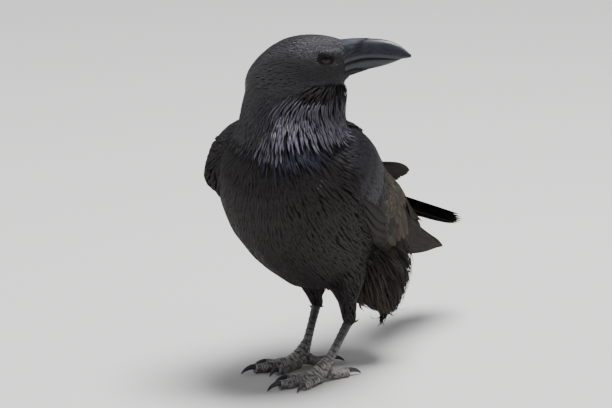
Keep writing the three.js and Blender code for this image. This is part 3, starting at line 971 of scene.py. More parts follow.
@dataclass
class Plumage:
    """Plants feathers on a ground and lays them along the body.

    Crowding is the area of one try, in squares of the spacing. Pull is how far each step along a
    feather turns to the body's lie, and steady the share of a root's turn that is kept after it.
    A bare crease runs along the wing's lower edge from crease_start on.
    """

    ground: Ground
    wings: Sequence[Wing]
    seed: int = 7
    crowding: float = 0.12
    pull: float = 0.35
    steady: float = 0.25
    crease_start: float = 0.16
    crease_edge: float = 0.955
    crease_slope: float = 0.80
    crease_half: float = 0.045

    def __post_init__(self) -> None:
        """Starts the random numbers and maps the wings' lie."""
        self.chance = np.random.default_rng(self.seed)
        self.wing_trees: dict[str, tuple[KDTree, Array, Array]] = {}
        reach, across = np.meshgrid(np.linspace(0.0, 0.7, 60), np.linspace(0.0, 1.0, 30), indexing="ij")
        for wing in self.wings:
            points, ahead, _ = wing.frame_at(reach, across, np.zeros_like(reach))
            ways = ahead.reshape(-1, 3)
            places = np.stack([reach, across], axis=-1).reshape(-1, 2)
            tree = tree_of(points.reshape(-1, 3))
            self.wing_trees[f"wing_{wing.name}_coverts"] = (tree, ways, places)

    def lie(self, points: Array, numbers: Array) -> Array:
        """The way that feathers point at places on the body, before it is laid on the surface.

        Args:
            points: The places.
            numbers: The ground's triangle at each.

        Returns:
            One vector for each place.
        """
        height = points[:, 2]
        pitch = np.radians(np.interp(points[:, 1], *SLOPES))
        body = np.stack([np.zeros_like(pitch), np.cos(pitch), -np.sin(pitch)], axis=-1)
        neck = np.tile(NECK_LIE, (len(points), 1))
        head = unit(points - on_head(np.array([54.0]), np.array([317.0]), np.array([0.0])))
        share = ease(height, 205, 262)[:, None]
        flow = body * (1 - share) + neck * share
        share = ease(height, 262, 300)[:, None]
        flow = flow * (1 - share) + head * share
        for number, name in enumerate(self.ground.names):
            here = self.ground.labels[numbers] == number
            if name == "vent_feathers":
                flow[here] = VENT_LIE
            if name.startswith("thigh"):
                flow[here] = THIGH_LIE
            if name in self.wing_trees and here.any():
                tree, ways, _ = self.wing_trees[name]
                flow[here] = ways[[tree.find(p)[1] for p in points[here]]]
        return flow

    def on_wing(self, spots: Spots) -> tuple[Array, Array]:
        """Where each spot lies on its wing, from bend to tip and from the back edge to the lower edge."""
        at = np.zeros((len(spots.points), 2))
        side = np.where(spots.aside > 0, "left", "right")
        for wing in self.wings:
            here = side == wing.name
            tree, _, places = self.wing_trees[f"wing_{wing.name}_coverts"]
            at[here] = places[[tree.find(p)[1] for p in spots.points[here]]]
        return at[:, 0], at[:, 1]

    def wing_band(self, start: float, end: float, worn: bool | None = None) -> Mask:
        """A mask of a band across the folded wings.

        Args:
            start: Where it starts, from the bend (0) to the tip (1).
            end: Where it ends.
            worn: Whether to keep only the worn middle of the wing, or only the rest.

        Returns:
            The mask.
        """
        def mask(spots: Spots) -> Array:
            """The share of places kept in the band."""
            reach, across = self.on_wing(spots)
            crease = self.crease_edge - self.crease_slope * (reach - self.crease_start)
            clear = (np.abs(across - crease) > self.crease_half) | (reach < self.crease_start)
            band = (reach >= start) & (reach < end) & clear
            middle = ease(across, 0.12, 0.26) * ease(-across, -0.90, -0.80) * ease(reach, 0.29, 0.34)
            if worn is None:
                return band * 1.0
            return band * (middle if worn else 1 - middle)

        return mask

    def scatter(self, tract: Tract) -> tuple[Spots, Array]:
        """Picks evenly spaced places for a tract's feathers.

        Args:
            tract: The stretch of the coat.

        Returns:
            The places, and the feather size at each.
        """
        ground = self.ground
        wanted = [i for i, name in enumerate(ground.names) if name in tract.nodes]
        numbers = np.flatnonzero(np.isin(ground.labels, wanted))
        a, b, c = (ground.points[ground.triangles[numbers, k]] for k in range(3))
        area = np.linalg.norm(np.cross(b - a, c - a), axis=1) / 2
        tries = int(area.sum() / (self.crowding * tract.spacing**2))
        pick = self.chance.choice(len(numbers), tries, p=area / area.sum())
        u, v = self.chance.random((2, tries, 1))
        over = u + v > 1
        u, v = np.where(over, 1 - u, u), np.where(over, 1 - v, v)
        points = a[pick] + u * (b[pick] - a[pick]) + v * (c[pick] - a[pick])
        normals = unit(ground.normals[ground.triangles[numbers[pick]]].mean(axis=1))
        spots = Spots(points, normals, numbers[pick])
        spots = spots.only(tract.where(spots) > self.chance.random(tries))
        sizes = tract.size(spots)
        tree = tree_of(spots.points)
        free = np.ones(len(spots.points), bool)
        kept = []
        for i, point in enumerate(spots.points):
            if free[i]:
                kept.append(i)
                for _, near, _ in tree.find_range(point, tract.spacing * sizes[i]):
                    free[near] = False
        return spots.only(np.array(kept, int)), sizes[kept]

    def grow(self, tract: Tract, vane: Vane) -> Plumes:
        """Lays a tract's feathers from their roots along the surface.

        Args:
            tract: The stretch of the coat.
            vane: The vane that they will be copies of.

        Returns:
            The feathers.
        """
        spots, sizes = self.scatter(tract)
        count = len(sizes)

        def lay(way: Array, surface: Array) -> Array:
            """Lays a way along the surface, apart from the share that hangs loose."""
            return unit(along_surface(way, surface) * (1 - tract.loose) + unit(way) * tract.loose)

        lengths = tract.length * sizes * (1 + tract.uneven * self.chance.uniform(-1, 1, count))
        turn = np.radians(tract.unruly) * self.chance.standard_normal(count).clip(-2, 2)
        point, normal, numbers = spots.points, spots.normals, spots.numbers
        ahead = lay(self.lie(point, numbers), normal)
        places = vane.places()
        points, aheads, normals = [], [], []
        for k, place in enumerate(places):
            if k:
                step = (lengths * (place - places[k - 1]))[:, None]
                moved = point + ahead * step
                found, surface, numbers = self.ground.drop(moved)
                above = np.sum((moved - found) * surface, axis=1, keepdims=True)
                held = np.where(above > 0, tract.stiff, 0.0)
                point = found + (moved - found) * held
                normal = unit(normal * 0.5 + surface * 0.5)
                wanted = lay(self.lie(point, numbers), normal)
                ahead = lay(ahead + wanted * self.pull, normal)
            sideways = np.cross(normal, ahead)
            way = unit(ahead * np.cos(turn)[:, None] + sideways * np.sin(turn)[:, None])
            if k == 0:
                ahead = way
                turn = turn * self.steady
            low, high = tract.lift
            points.append(point + normal * (low + (high - low) * ease(place, 0.0, 0.75) * sizes[:, None]))
            aheads.append(way)
            normals.append(normal)
        low, high = tract.tone
        # Painted light and shade scale each feather's tone by its place.
        tones = (low + (high - low) * self.chance.random(count)) * tract.shade(spots)
        roll = self.chance.uniform(-0.08, 0.08, count)
        packed = (np.stack(rows, axis=1) for rows in (points, aheads, normals))
        return Plumes(*packed, tract.width * sizes, tones, self.patches(spots), roll)

    def patches(self, spots: Spots) -> Array:
        """Where each root lies on the skin's unwrap."""
        corners = self.ground.points[self.ground.triangles[spots.numbers]]
        apart = np.linalg.norm(corners - spots.points[:, None], axis=2) + 1e-3
        share = (1 / apart) / (1 / apart).sum(axis=1, keepdims=True)
        return (self.ground.unwrap[spots.numbers] * share[..., None]).sum(axis=1)

    def root_patches(self, roots: Array) -> Array:
        """Where roots that aren't on the skin lie on its unwrap, by the nearest place."""
        places, normals, numbers = self.ground.drop(roots)
        return self.patches(Spots(places, normals, numbers))


@dataclass(frozen=True)
class Row:
    """A row of feathers on a folded wing, from its back edge to its lower edge.

    Roots and tips are places (reach, across) of the first and the last feather. The tips of the
    feathers between them lie further out by bow, and all tips rise to the surface by rise.
    """

    count: int
    roots: tuple[tuple[float, float], tuple[float, float]]
    tips: tuple[tuple[float, float], tuple[float, float]]
    widths: tuple[float, float]
    deep: tuple[float, float]
    bow: float = 0.0
    rise: float = 0.0
    roll: float = 0.2
    uneven: float = 0.012
    tone: tuple[float, float] = (0.2, 0.8)


@dataclass
class WingFeathers:
    """The rows of feathers of one folded wing."""

    wing: Wing
    plumage: Plumage
    quill: Vane = Vane(Outline.QUILL, around=6, rows=16, thick=0.35, camber=0.04, ridge=0.4)
    primary: Vane = Vane(Outline.PRIMARY, around=6, rows=18, thick=0.35, camber=0.04, ridge=0.4)
    covert: Vane = Vane(Outline.ROUND, around=6, rows=8, thick=0.14, camber=0.03, ridge=0.06)

    def rows(self) -> dict[str, tuple[Row, ...]]:
        """The rows of flight feathers and of coverts, from the deepest to the uppermost."""
        blunt = self.wing.blunt
        narrow = self.wing.narrow
        primaries = Row(10, ((0.40, 0.12), (0.34, 0.98)), ((blunt, narrow), (blunt - 0.05, 0.98)),
                        (16, 12), (7.0, 5.6), bow=1.02 - blunt, rise=self.wing.level, roll=0.8,
                        uneven=0.006, tone=(0.0, 1.0))
        secondaries = Row(9, ((0.30, 0.18), (0.34, 0.92)), ((0.68, 0.06 + narrow / 2), (0.55, 0.94)),
                          (25, 20), (3.8, 2.4), roll=0.4)
        primary_coverts = Row(9, ((0.32, 0.80), (0.30, 1.0)), ((0.58, 0.90), (0.50, 1.0)),
                              (12, 9), (3.0, 1.6))
        tertials = Row(8, ((0.26, 0.0), (0.28, 0.26)), ((0.72, 0.02), (0.57, 0.34)),
                       (18, 16), (2.4, 0.9), roll=0.5)
        greater = Row(16, ((0.28, 0.06), (0.28, 0.72)), ((0.53, 0.06), (0.46, 0.74)),
                      (13, 11.5), (1.9, 0.3))
        # The outer coverts' darker tones are painted shade along the wing's lower edge.
        outer_greater = Row(7, ((0.30, 0.74), (0.28, 0.98)), ((0.475, 0.76), (0.44, 0.97)),
                            (13, 11), (1.7, 0.2), tone=(0.0, 0.6))
        edging = Row(3, ((0.13, 0.95), (0.20, 1.0)), ((0.37, 0.80), (0.42, 0.90)),
                     (12, 12), (0.6, -3.2), tone=(0.0, 0.5))
        scallops = Row(4, ((0.38, 0.64), (0.36, 0.86)), ((0.56, 0.64), (0.525, 0.88)),
                       (13, 12), (1.5, 0.1))
        inner = Row(9, ((0.27, 0.0), (0.27, 0.27)), ((0.535, 0.0), (0.475, 0.29)),
                    (12, 11), (1.7, 0.0))
        scapulars = tuple(Row(13, ((at, -0.03), (at, 0.14)), ((at + 0.13, -0.02), (at + 0.11, 0.17)),
                              (9.5, 8), (0.6, -1.4 - 2 * (0.3 - at)), uneven=0.03, roll=0.1)
                          for at in (0.34, 0.30, 0.26, 0.22, 0.18, 0.14, 0.10, 0.06))
        return {"primaries": (primaries,), "secondaries": (secondaries, primary_coverts),
                "tertials": (tertials,), "inner_coverts": (inner, greater, scallops),
                "outer_coverts": (outer_greater, edging), "scapulars": scapulars}

    def lay(self, row: Row, vane: Vane) -> Plumes:
        """Lays one row on the wing.

        Args:
            row: The row.
            vane: The vane that its feathers are copies of.

        Returns:
            The feathers.
        """
        chance = self.plumage.chance
        f = np.linspace(0.0, 1.0, row.count)[:, None]
        a = vane.places()[None, :]
        jitter = row.uneven * chance.uniform(-1, 1, (row.count, 2))
        root = np.array(row.roots[0]) * (1 - f) + np.array(row.roots[1]) * f
        tip = np.array(row.tips[0]) * (1 - f) + np.array(row.tips[1]) * f + jitter
        tip[:, :1] += row.bow * np.sin(math.pi * (0.78 * f + 0.02))
        reach = root[:, :1] + (tip[:, :1] - root[:, :1]) * a
        across = root[:, 1:] + (tip[:, 1:] - root[:, 1:]) * a
        deep = row.deep[0] + (row.deep[1] - row.deep[0]) * ease(a, 0.0, 0.9)
        deep = deep - row.rise * ease(a, 0.5, 1.0)
        points, _, normals = self.wing.frame_at(reach, across, deep)
        ahead = unit(np.gradient(points, axis=1))
        widths = (row.widths[0] * (1 - f) + row.widths[1] * f)[:, 0]
        low, high = row.tone
        tones = low + (high - low) * chance.random(row.count)
        patches = self.plumage.root_patches(points[:, 0])
        return Plumes(points, along_surface(ahead, normals), normals, widths, tones, patches,
                      np.full(row.count, row.roll))

    def build(self, looks: dict[str, Material]) -> list[Object]:
        """Makes the wing's pieces.

        Args:
            looks: The finish of each part of the wing.

        Returns:
            The pieces.
        """
        vanes = {"primaries": self.primary, "secondaries": self.quill, "tertials": self.quill}
        made = []
        for part, rows in self.rows().items():
            vane = vanes.get(part, self.covert)
            slot = "flight_feathers" if part in vanes else "body_feathers"
            coat = Coat(f"wing_{self.wing.name}_{part}_feathers", vane, slot, mirrored=self.wing.side > 0)
            piece = coat.build([self.lay(row, vane) for row in rows], looks[part])
            if part in ("primaries", "secondaries"):
                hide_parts(f"wing_{self.wing.name}_{part}")
            made.append(piece)
        return made


@dataclass
class Tail:
    """The folded tail, its middle pair of feathers longest and uppermost, and its coverts.

    Rows of its coverts are count, start along the tail, length and depth.
    """

    plumage: Plumage
    root: tuple[float, float, float] = (0.0, 66.0, 176.0)
    droop: float = 20.8
    length: float = 221.0
    pairs: int = 6
    half_root: float = 15.0
    half_tip: float = 30.0
    shorter: float = 8.5
    lower: float = 2.5
    quill_width: float = 24.0
    covert_width: float = 18.0
    roll: float = 0.8
    covert_rows: tuple[tuple[int, float, float, float], ...] = (
        (6, 2.0, 46.0, -2.4),
        (5, -14.0, 42.0, -4.6),
        (7, 4.0, 58.0, 9.0),
    )
    quill: Vane = Vane(Outline.QUILL, around=6, rows=16, thick=0.4, camber=0.09, ridge=0.5)
    covert: Vane = Vane(Outline.BROAD, around=4, rows=7, thick=0.3, camber=0.08)

    def axes(self) -> tuple[Array, Array]:
        """The ways along the tail and out of its upper face."""
        slope = math.radians(self.droop)
        cos, sin = math.cos(slope), math.sin(slope)
        return np.array([0, cos, -sin]), np.array([0, sin, cos])

    def fan(self, vane: Vane, across: Array, start: Array, length: Array, deep: Array,
            width: float) -> Plumes:
        """Lays straight feathers side by side along the tail.

        Args:
            vane: The vane that they are copies of.
            across: Each feather's place across the tail, from -1 to 1.
            start: How far along the tail each root lies.
            length: Each feather's length.
            deep: How far each tip lies under the upper face.
            width: Their width.

        Returns:
            The feathers.
        """
        back, up = self.axes()
        a = vane.places()[None, :]
        reach = start[:, None] + length[:, None] * a
        share = np.clip(reach / self.length, 0.0, 1.0)
        half = self.half_root + (self.half_tip - self.half_root) * np.sin(share * math.pi / 2) - width * 0.36
        points = np.array(self.root) + reach[..., None] * back
        points[..., 0] += across[:, None] * half
        points -= up * (deep[:, None] * ease(a, 0.0, 0.6))[..., None]
        normals = np.broadcast_to(up, points.shape)
        ahead = unit(np.gradient(points, axis=1))
        tones = self.plumage.chance.uniform(0.2, 0.8, len(across))
        rolls = -self.roll * np.sign(across)
        return Plumes(points, ahead, normals, np.full(len(across), width), tones,
                      self.plumage.root_patches(points[:, 0]), rolls)

    def build(self, quill_look: Material, covert_look: Material) -> list[Object]:
        """Makes the tail's pieces.

        Args:
            quill_look: The finish of the tail feathers.
            covert_look: The finish of the coverts.

        Returns:
            The pieces.
        """
        place = (np.arange(2 * self.pairs) + 0.5 - self.pairs) / (self.pairs - 0.5)
        step = np.abs(place) * (self.pairs - 0.5) - 0.5
        length = self.length - self.shorter * step * np.abs(place) * 0.9
        deep = self.lower * step + 0.4 * (place > 0)
        fan = self.fan(self.quill, place, np.zeros_like(place), length, deep, self.quill_width)
        feathers = Coat("tail_feathers", self.quill, "flight_feathers").build([fan], quill_look)
        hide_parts("tail")
        rows = []
        for count, start, size, depth in self.covert_rows:
            place = np.linspace(-0.9, 0.9, count)
            sizes = size - 8 * np.abs(place)
            starts, depths = np.full(count, start), np.full(count, depth)
            rows.append(self.fan(self.covert, place, starts, sizes, depths, self.covert_width))
        coverts = Coat("tail_coverts", self.covert).build(rows, covert_look)
        return [feathers, coverts]


@dataclass
class Bill:
    """The bill's two halves, from its root under the feathers to the hook.

    Rows of the table are places along the bill's line, heights of the culmen, of the cutting edge
    and of the underside, and half widths.
    """

    table: tuple[tuple[float, ...], ...] = (
        (34, 335.5, 307, 297, 11.5),
        (44, 337, 313.6, 301.4, 11),
        (54, 338.4, 318.6, 305.8, 10.4),
        (64, 339.3, 321.8, 309.2, 9.4),
        (74, 339.9, 323.2, 312, 8.3),
        (84, 339.5, 323.3, 314.8, 7),
        (93, 337.5, 322.9, 317.8, 5.4),
        (101, 333.7, 323.2, 321, 3.4),
        (110, 326.8, 325, 324.4, 1.2),
    )
    lower_reach: float = 0.88
    rings: int = 60
    around: int = 32

    def upper(self, share: Array, angle: Array) -> Array:
        """Points on the upper half.

        Args:
            share: Places from the root (0) to the tip (1).
            angle: Angles round it, 0 at the right cutting edge and a quarter turn at the culmen.

        Returns:
            The points.
        """
        along, top, edge, _, width = stations(self.table, share).T
        sin, cos = np.sin(angle), np.cos(angle)
        steep = np.abs(sin)
        rise = np.where(sin > 0, (top - edge) * steep**0.82, 0.9 * sin * steep)
        lip = np.exp(-(((steep - 0.16) / 0.12) ** 2)) * (0.05 + 0.06 * ease(share, 0.6, 0.2)) * (sin > 0)
        groove = np.exp(-(((steep - 0.42) / 0.13) ** 2)) * 0.05 * ease(share, 0.9, 0.4)
        points = on_head(along, np.zeros_like(along), width * cos * (1 + lip - groove))
        points[:, 2] += edge + 0.1 + rise
        return points

    def lower(self, share: Array, angle: Array) -> Array:
        """Points on the lower half, as the upper half's are given."""
        along, _, edge, bottom, width = stations(self.table, share * self.lower_reach).T
        closing = np.sqrt(1 - 0.92 * share**8)
        sin, cos = np.sin(angle), np.cos(angle)
        below = (bottom - edge) * np.abs(sin) ** 0.82
        rise = np.where(sin > 0, below, -0.7 * sin * sin) * closing
        points = on_head(along, np.zeros_like(along), width * 0.94 * closing * cos)
        points[:, 2] += edge - 0.15 + rise
        return points

    def ball(self, surface: Placer) -> Placer:
        """Fits a surface to a ball, whose poles become small flat ends."""
        def place(t: Array, angle: Array) -> Array:
            """Points for places along the ball and angles round it."""
            share = np.clip((t * self.rings - 1) / (self.rings - 2), 0.0, 1.0)
            points = surface(share, angle)
            for pole in (t < 0.5 / self.rings, t > 1 - 0.5 / self.rings):
                ring = surface(np.full(8, share[pole][0]), np.linspace(0, math.tau, 9)[:-1])
                points[pole] = ring.mean(axis=0)
            return points
        return place

    def build(self, material: Material) -> list[Object]:
        """Makes both halves.

        Args:
            material: Their finish.

        Returns:
            The two pieces.
        """
        made = []
        for name, surface in (("upper_bill", self.upper), ("lower_bill", self.lower)):
            bm = bmesh.new()
            add_ball(bm, self.around, self.rings, self.ball(surface))
            piece = make_piece(bm, name.replace("_bill", "_half_of_bill"), material)
            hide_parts(name)
            made.append(piece)
        return made

    def bristles(self, plumage: Plumage, vane: Vane, count: int, under: bool = False) -> Plumes:
        """Lays stiff bristles from the head forward along the bill, over the nostrils or the chin.

        Args:
            plumage: Where the random numbers and root patches come from.
            vane: The vane that they are copies of.
            count: How many there are.
            under: Whether they lie along the chin.

        Returns:
            The bristles.
        """
        chance = plumage.chance
        a = vane.places()[None, :]
        low, high = (0.6, 1.5) if under else (0.14, 1.52)
        last, shortest, longest, fullest = (0.32, 0.14, 0.22, 2.4) if under else (0.22, 0.17, 0.27, 0.5)
        side = np.where(chance.random((count, 1)) < 0.5, 1.0, -1.0)
        from_edge = chance.uniform(low, high, (count, 1))
        start = chance.uniform(-0.04, last, (count, 1)) - 0.06 * (high - from_edge)
        share = start + chance.uniform(shortest, longest, (count, 1)) * a
        angle = from_edge + (0.9 - from_edge) * 0.22 * a + chance.normal(0, 0.05, (count, 1)) * a
        angle = np.where(side > 0, angle, math.pi - angle)
        normals = np.sin(angle)[..., None] * UP * (-1 if under else 1) + np.cos(angle)[..., None] * CHEEK
        arch = chance.uniform(0.1, fullest, (count, 1))
        proud = 0.3 + arch * np.sin(a * 2.2) * (0.62 - share)
        surface = self.lower if under else self.upper
        points = surface(np.clip(share, 0, 1).ravel(), angle.ravel()).reshape(count, -1, 3)
        points += normals * proud[..., None] + np.minimum(share, 0.0)[..., None] * 80 * FORWARD
        ahead = unit(np.gradient(points, axis=1))
        return Plumes(points, along_surface(ahead, normals), normals, chance.uniform(0.8, 1.4, count),
                      chance.uniform(0.1, 0.7, count), plumage.root_patches(points[:, 0]), np.zeros(count))


@dataclass
class Eyes:
    """Both eyeballs and the rims of their lids, which leave an opening longer than it is high."""

    along: float = 31.6
    height: float = 321.6
    out: float = 16.0
    radius: float = 7.0
    sunk: float = 1.6
    turned: float = 0.4
    opening: float = 4.2
    rim: float = 0.5
    rim_middle: float = 1.5
    rim_half: float = 1.6
    rim_fall: float = 0.28
    bare: float = 0.9
    longer: float = 0.05
    flatter: float = 0.10
    segments: int = 48

    def offsets(self, points: Array) -> tuple[Array, Array]:
        """How far points lie ahead of the eyes and above them."""
        off = points - HEAD_AT - self.along * FORWARD - self.height * UP
        return off @ FORWARD, off @ UP

    def middle(self, side: int) -> Array:
        """The middle of an eyeball: side is 1 on the head's right and -1 on its left."""
        return HEAD_AT + self.along * FORWARD + self.height * UP + side * (self.out - self.sunk) * CHEEK

    def axes(self, side: int) -> tuple[Array, Array]:
        """The way that an eye looks, out and a little forward, and the level way across it."""
        out = unit(side * CHEEK + self.turned * FORWARD)
        return out, unit(along_surface(FORWARD[None], out[None]))[0]

    def ball(self, side: int, material: Material) -> Object:
        """Makes an eyeball with its pole, and so its pupil, facing out."""
        out, ahead = self.axes(side)

        def place(t: Array, angle: Array) -> Array:
            """Points for places from the outer pole and angles round it."""
            polar = t * math.pi
            flat = np.cos(angle)[:, None] * ahead + np.sin(angle)[:, None] * UP
            outward = out * np.cos(polar)[:, None] + flat * np.sin(polar)[:, None]
            return self.middle(side) + self.radius * outward

        bm = bmesh.new()
        add_ball(bm, self.segments, 32, place)
        name = "right" if side > 0 else "left"
        piece = make_piece(bm, f"eyeball_{name}", material)
        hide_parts(f"eye_{name}")
        return piece

    def lids(self, material: Material) -> Object:
        """Makes the rims round both eyes: a section spun round each eye's axis, then drawn out."""
        bm = bmesh.new()
        for side in (1, -1):
            look, ahead = self.axes(side)
            axis = Vector(look)
            centre = (self.middle(side) + FEET) * MM
            cover = math.sqrt(self.radius**2 - self.opening**2)
            section = bmesh.ops.create_circle(bm, segments=14, radius=1.0)["verts"]
            for vert in section:
                away = self.opening + self.rim_middle + vert.co.x * self.rim_half
                out = cover + vert.co.y * self.rim - self.rim_fall * max(away - self.opening, 0.0) ** 1.5
                flat = Vector(ahead) * away + axis * out
                vert.co = Vector(centre) + flat * MM
            edges = list({edge for vert in section for edge in vert.link_edges})
            bmesh.ops.spin(bm, geom=section + edges, cent=centre, axis=axis, steps=self.segments,
                           angle=math.tau, use_merge=True)
        for vert in bm.verts:
            vert.co = self.almond(Vector(vert.co))
        return make_piece(bm, "eyelids", material)

    def almond(self, place: Vector) -> Vector:
        """Moves a point of a round rim so that the opening is a little longer than high."""
        local = np.array(place) / MM - FEET
        side = 1 if (local - HEAD_AT) @ CHEEK > 0 else -1
        off = local - self.middle(side)
        level = off @ FORWARD
        off = off + FORWARD * level * self.longer - UP * (off @ UP) * self.flatter
        return Vector((self.middle(side) + off + FEET) * MM)


@dataclass(frozen=True)
class Toe:
    """One toe: its turn from straight ahead, its length and thickness, and its claw's length."""

    name: str
    turn: float
    length: float
    radius: float
    claw: float
    joints: int


TOES = (
    Toe("hallux", 180, 25, 4.6, 19, 1),
    Toe("inner", 24, 33, 4.5, 15, 2),
    Toe("middle", 0, 49, 4.9, 17, 3),
    Toe("outer", -24, 36, 4.4, 14, 4),
)


@dataclass
class Leg:
    """One bare leg: the shank, its four toes and their claws."""

    name: str
    foot: tuple[float, float]
    ankle: tuple[float, float, float]
    turn: float
    joint: float = 11.0
    shank: tuple[float, ...] = (5.3, 4.4, 3.9, 4.2, 4.6)

    @property
    def root(self) -> Array:
        """The toes' common joint."""
        return np.array([*self.foot, self.joint])

    def limb(self, points: Sequence[Array], radii: Sequence[float], rings: int, relief: Placer,
             floor: float = -1e3) -> Placer:
        """Fits a ball to a limb along a curve.

        Args:
            points: Points that the limb's middle passes.
            radii: Its thickness, evenly spaced from start to end.
            rings: Rows of the ball.
            relief: Gives the share by which the surface stands out at places and angles.
            floor: The height that no point goes below.

        Returns:
            The function that moves the ball's points.
        """
        def place(t: Array, angle: Array) -> Array:
            """Points for places along the limb and angles round it."""
            centre = stations(points, t)
            after, before = np.minimum(t + 0.01, 1.0), np.maximum(t - 0.01, 0.0)
            ahead = unit(stations(points, after) - stations(points, before))
            sideways = unit(np.cross(UP, ahead))
            up = np.cross(ahead, sideways)
            end = np.clip(np.minimum(t, 1 - t) * rings / 3, 0.0, 1.0)
            size = stations([[r] for r in radii], t)[:, 0] * np.sqrt(1 - (1 - end) ** 2)
            size = size * (1 + relief(t, angle))
            made = centre + sideways * (size * np.cos(angle))[:, None] + up * (size * np.sin(angle))[:, None]
            made[:, 2] = np.maximum(made[:, 2], floor)
            return made
        return place

    def plates(self, count: int, depth: float, pads: int = 0) -> Placer:
        """The relief of overlapping plates on the upper side, and of pads below.

        Args:
            count: Plates along the limb.
            depth: How far a plate's end stands out, as a share of the thickness.
            pads: Soft pads along the underside.

        Returns:
            The function that gives the relief.
        """
        def relief(t: Array, angle: Array) -> Array:
            """The share by which the surface stands out."""
            on_top = ease(np.sin(angle), -0.15, 0.3)
            along = t * count
            plate = (along % 1.0) ** 1.5 - 0.7 * (np.abs((along + 0.06) % 1.0) < 0.12)
            below = 0.10 * np.cos(math.tau * pads * t) if pads else 0.03 * np.sin(t * 90 + angle * 3)
            return plate * depth * on_top + below * (1 - on_top)
        return relief

    def toe_path(self, toe: Toe) -> tuple[Array, list[Array]]:
        """The way a toe points and the points along its middle."""
        angle = math.radians(self.turn + toe.turn)
        way = np.array([-math.sin(angle), -math.cos(angle), 0.0])
        root = self.root + 3 * way
        heights = ((0.0, self.joint - 2.5), (0.2, toe.radius * 1.25), (0.5, toe.radius * 0.92),
                   (0.78, toe.radius * 0.86), (1.0, toe.radius * 0.9))
        return way, [np.array([root[0], root[1], z]) + way * toe.length * share for share, z in heights]

    def build(self, skin: Material, horn: Material) -> list[Object]:
        """Makes the foot with its shank, and the claws.

        Args:
            skin: The finish of the scaled skin.
            horn: The finish of the claws.

        Returns:
            The two pieces.
        """
        scaled, claws = bmesh.new(), bmesh.new()
        ankle = np.array(self.ankle)
        foot = self.root - UP
        path = [foot + (ankle - foot) * share for share in (-0.12, 0.24, 0.55, 0.84, 1.06)]
        add_ball(scaled, 28, 110, self.limb(path, self.shank, 110, self.plates(11, 0.12)), 11)
        way, _ = self.toe_path(TOES[2])
        instep = [path[1] + (path[2] - path[1]) * 0.4, path[1] + way, self.root + way * 7 + UP * 0.5,
                  self.root + way * 17 - UP * 4.2]
        add_ball(scaled, 24, 60, self.limb(instep, (3.4, 4.7, 5.2, 4.6), 60, self.plates(8, 0.10)), 8)
        for toe in TOES:
            way, points = self.toe_path(toe)
            bumps = np.interp(np.linspace(0, 1, 9), (0, 1), (1.16, 0.88))
            swell = 1 + 0.12 * np.cos(math.tau * toe.joints * np.linspace(0, 1, 9))
            radii = toe.radius * bumps * swell
            count = int(toe.length / 2.9)
            relief = self.plates(count, 0.15, toe.joints + 1)
            add_ball(scaled, 24, 96, self.limb(points, radii, 96, relief, 0.0), count)
            reach = ((-2.5, 0.98), (0.10, 1.25), (0.38, 1.32), (0.7, 0.98), (0.9, 0.5), (1.0, 0.1))
            tip = self.root + way * toe.length
            spots = [np.array([tip[0], tip[1], toe.radius * z]) + way * (a if a < 0 else toe.claw * a)
                     for a, z in reach]
            sizes = [toe.radius * share for share in (0.60, 0.60, 0.50, 0.36, 0.2, 0.05)]
            smooth = self.plates(1, 0.0)
            add_ball(claws, 16, 36, self.limb(spots, sizes, 36, smooth, 0.02))
        made = [make_piece(scaled, f"foot_{self.name}", skin),
                make_piece(claws, f"claws_{self.name}", horn)]
        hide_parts(f"tarsus_{self.name}", *(f"toe_{self.name}_{toe.name}" for toe in TOES))
        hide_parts(*(f"claw_{self.name}_{toe.name}" for toe in TOES))
        return made


LEGS = (
    Leg("right", (-23, 12), (-25, 42, 57), 34),
    Leg("left", (19, -22), (26, 14, 52), 24),
)


# ---- The coat -------------------------------------------------------------------------------

BODY = FeatherFinish(
    "body feather", (0.0050, 0.0040, 0.0040), (0.0135, 0.0110, 0.0108), (0.020, 0.016, 0.016),
    worn=0.2, gloss=0.52, shine=0.3, tint=(1.0, 0.97, 0.97), bump=0.15)
FACE = FeatherFinish(
    "face feather", (0.0046, 0.0038, 0.0039), (0.019, 0.0160, 0.0165), (0.019, 0.016, 0.016),
    worn=0.2, gloss=0.40, shine=0.7, tint=(0.95, 0.94, 1.0), barbs=10.0, fade=0.6)
# The throat hackles' pale violet-grey tones are a painted sheen: sky light painted into their colour.
HACKLE = FeatherFinish(
    "throat hackle", (0.007, 0.0062, 0.0080), (0.185, 0.171, 0.213), (0.045, 0.041, 0.050),
    worn=0.3, gloss=0.34, shine=0.6, tint=(0.92, 0.88, 1.0), barbs=34.0, tip=0.85)
BLUISH = FeatherFinish(
    "lower hackle", (0.0052, 0.0046, 0.0062), (0.019, 0.0175, 0.026), (0.018, 0.0165, 0.022),
    worn=0.2, gloss=0.36, shine=0.42, tint=(0.8, 0.8, 1.0), barbs=34.0, tip=0.6)
MANTLE = FeatherFinish(
    "mantle feather", (0.0056, 0.0052, 0.0064), (0.0175, 0.0163, 0.0205), (0.024, 0.022, 0.025),
    worn=0.3, gloss=0.54, shine=0.32, tint=(0.90, 0.90, 1.0), barbs=60.0, fade=0.7)
COVERT = FeatherFinish(
    "wing covert", (0.0046, 0.0040, 0.0040), (0.0135, 0.0122, 0.0124), (0.046, 0.037, 0.030),
    worn=0.9, gloss=0.5, shine=0.18, tint=(0.98, 0.96, 1.0), barbs=60.0)
WORN = FeatherFinish(
    "worn covert", (0.0125, 0.0100, 0.0080), (0.062, 0.0500, 0.0375), (0.082, 0.064, 0.045),
    worn=1.2, gloss=0.55, shine=0.2, barbs=60.0)
QUILL = FeatherFinish(
    "flight feather", (0.0062, 0.0050, 0.0046), (0.0190, 0.0160, 0.0148), (0.056, 0.045, 0.035),
    worn=0.9, gloss=0.52, shine=0.18, tint=(0.95, 0.95, 1.0), barbs=90.0, shaft=0.62)
TERTIAL = FeatherFinish(
    "tertial", (0.0056, 0.0047, 0.0043), (0.0165, 0.0138, 0.0120), (0.052, 0.040, 0.030),
    worn=0.7, gloss=0.52, shine=0.2, barbs=90.0, shaft=0.62)
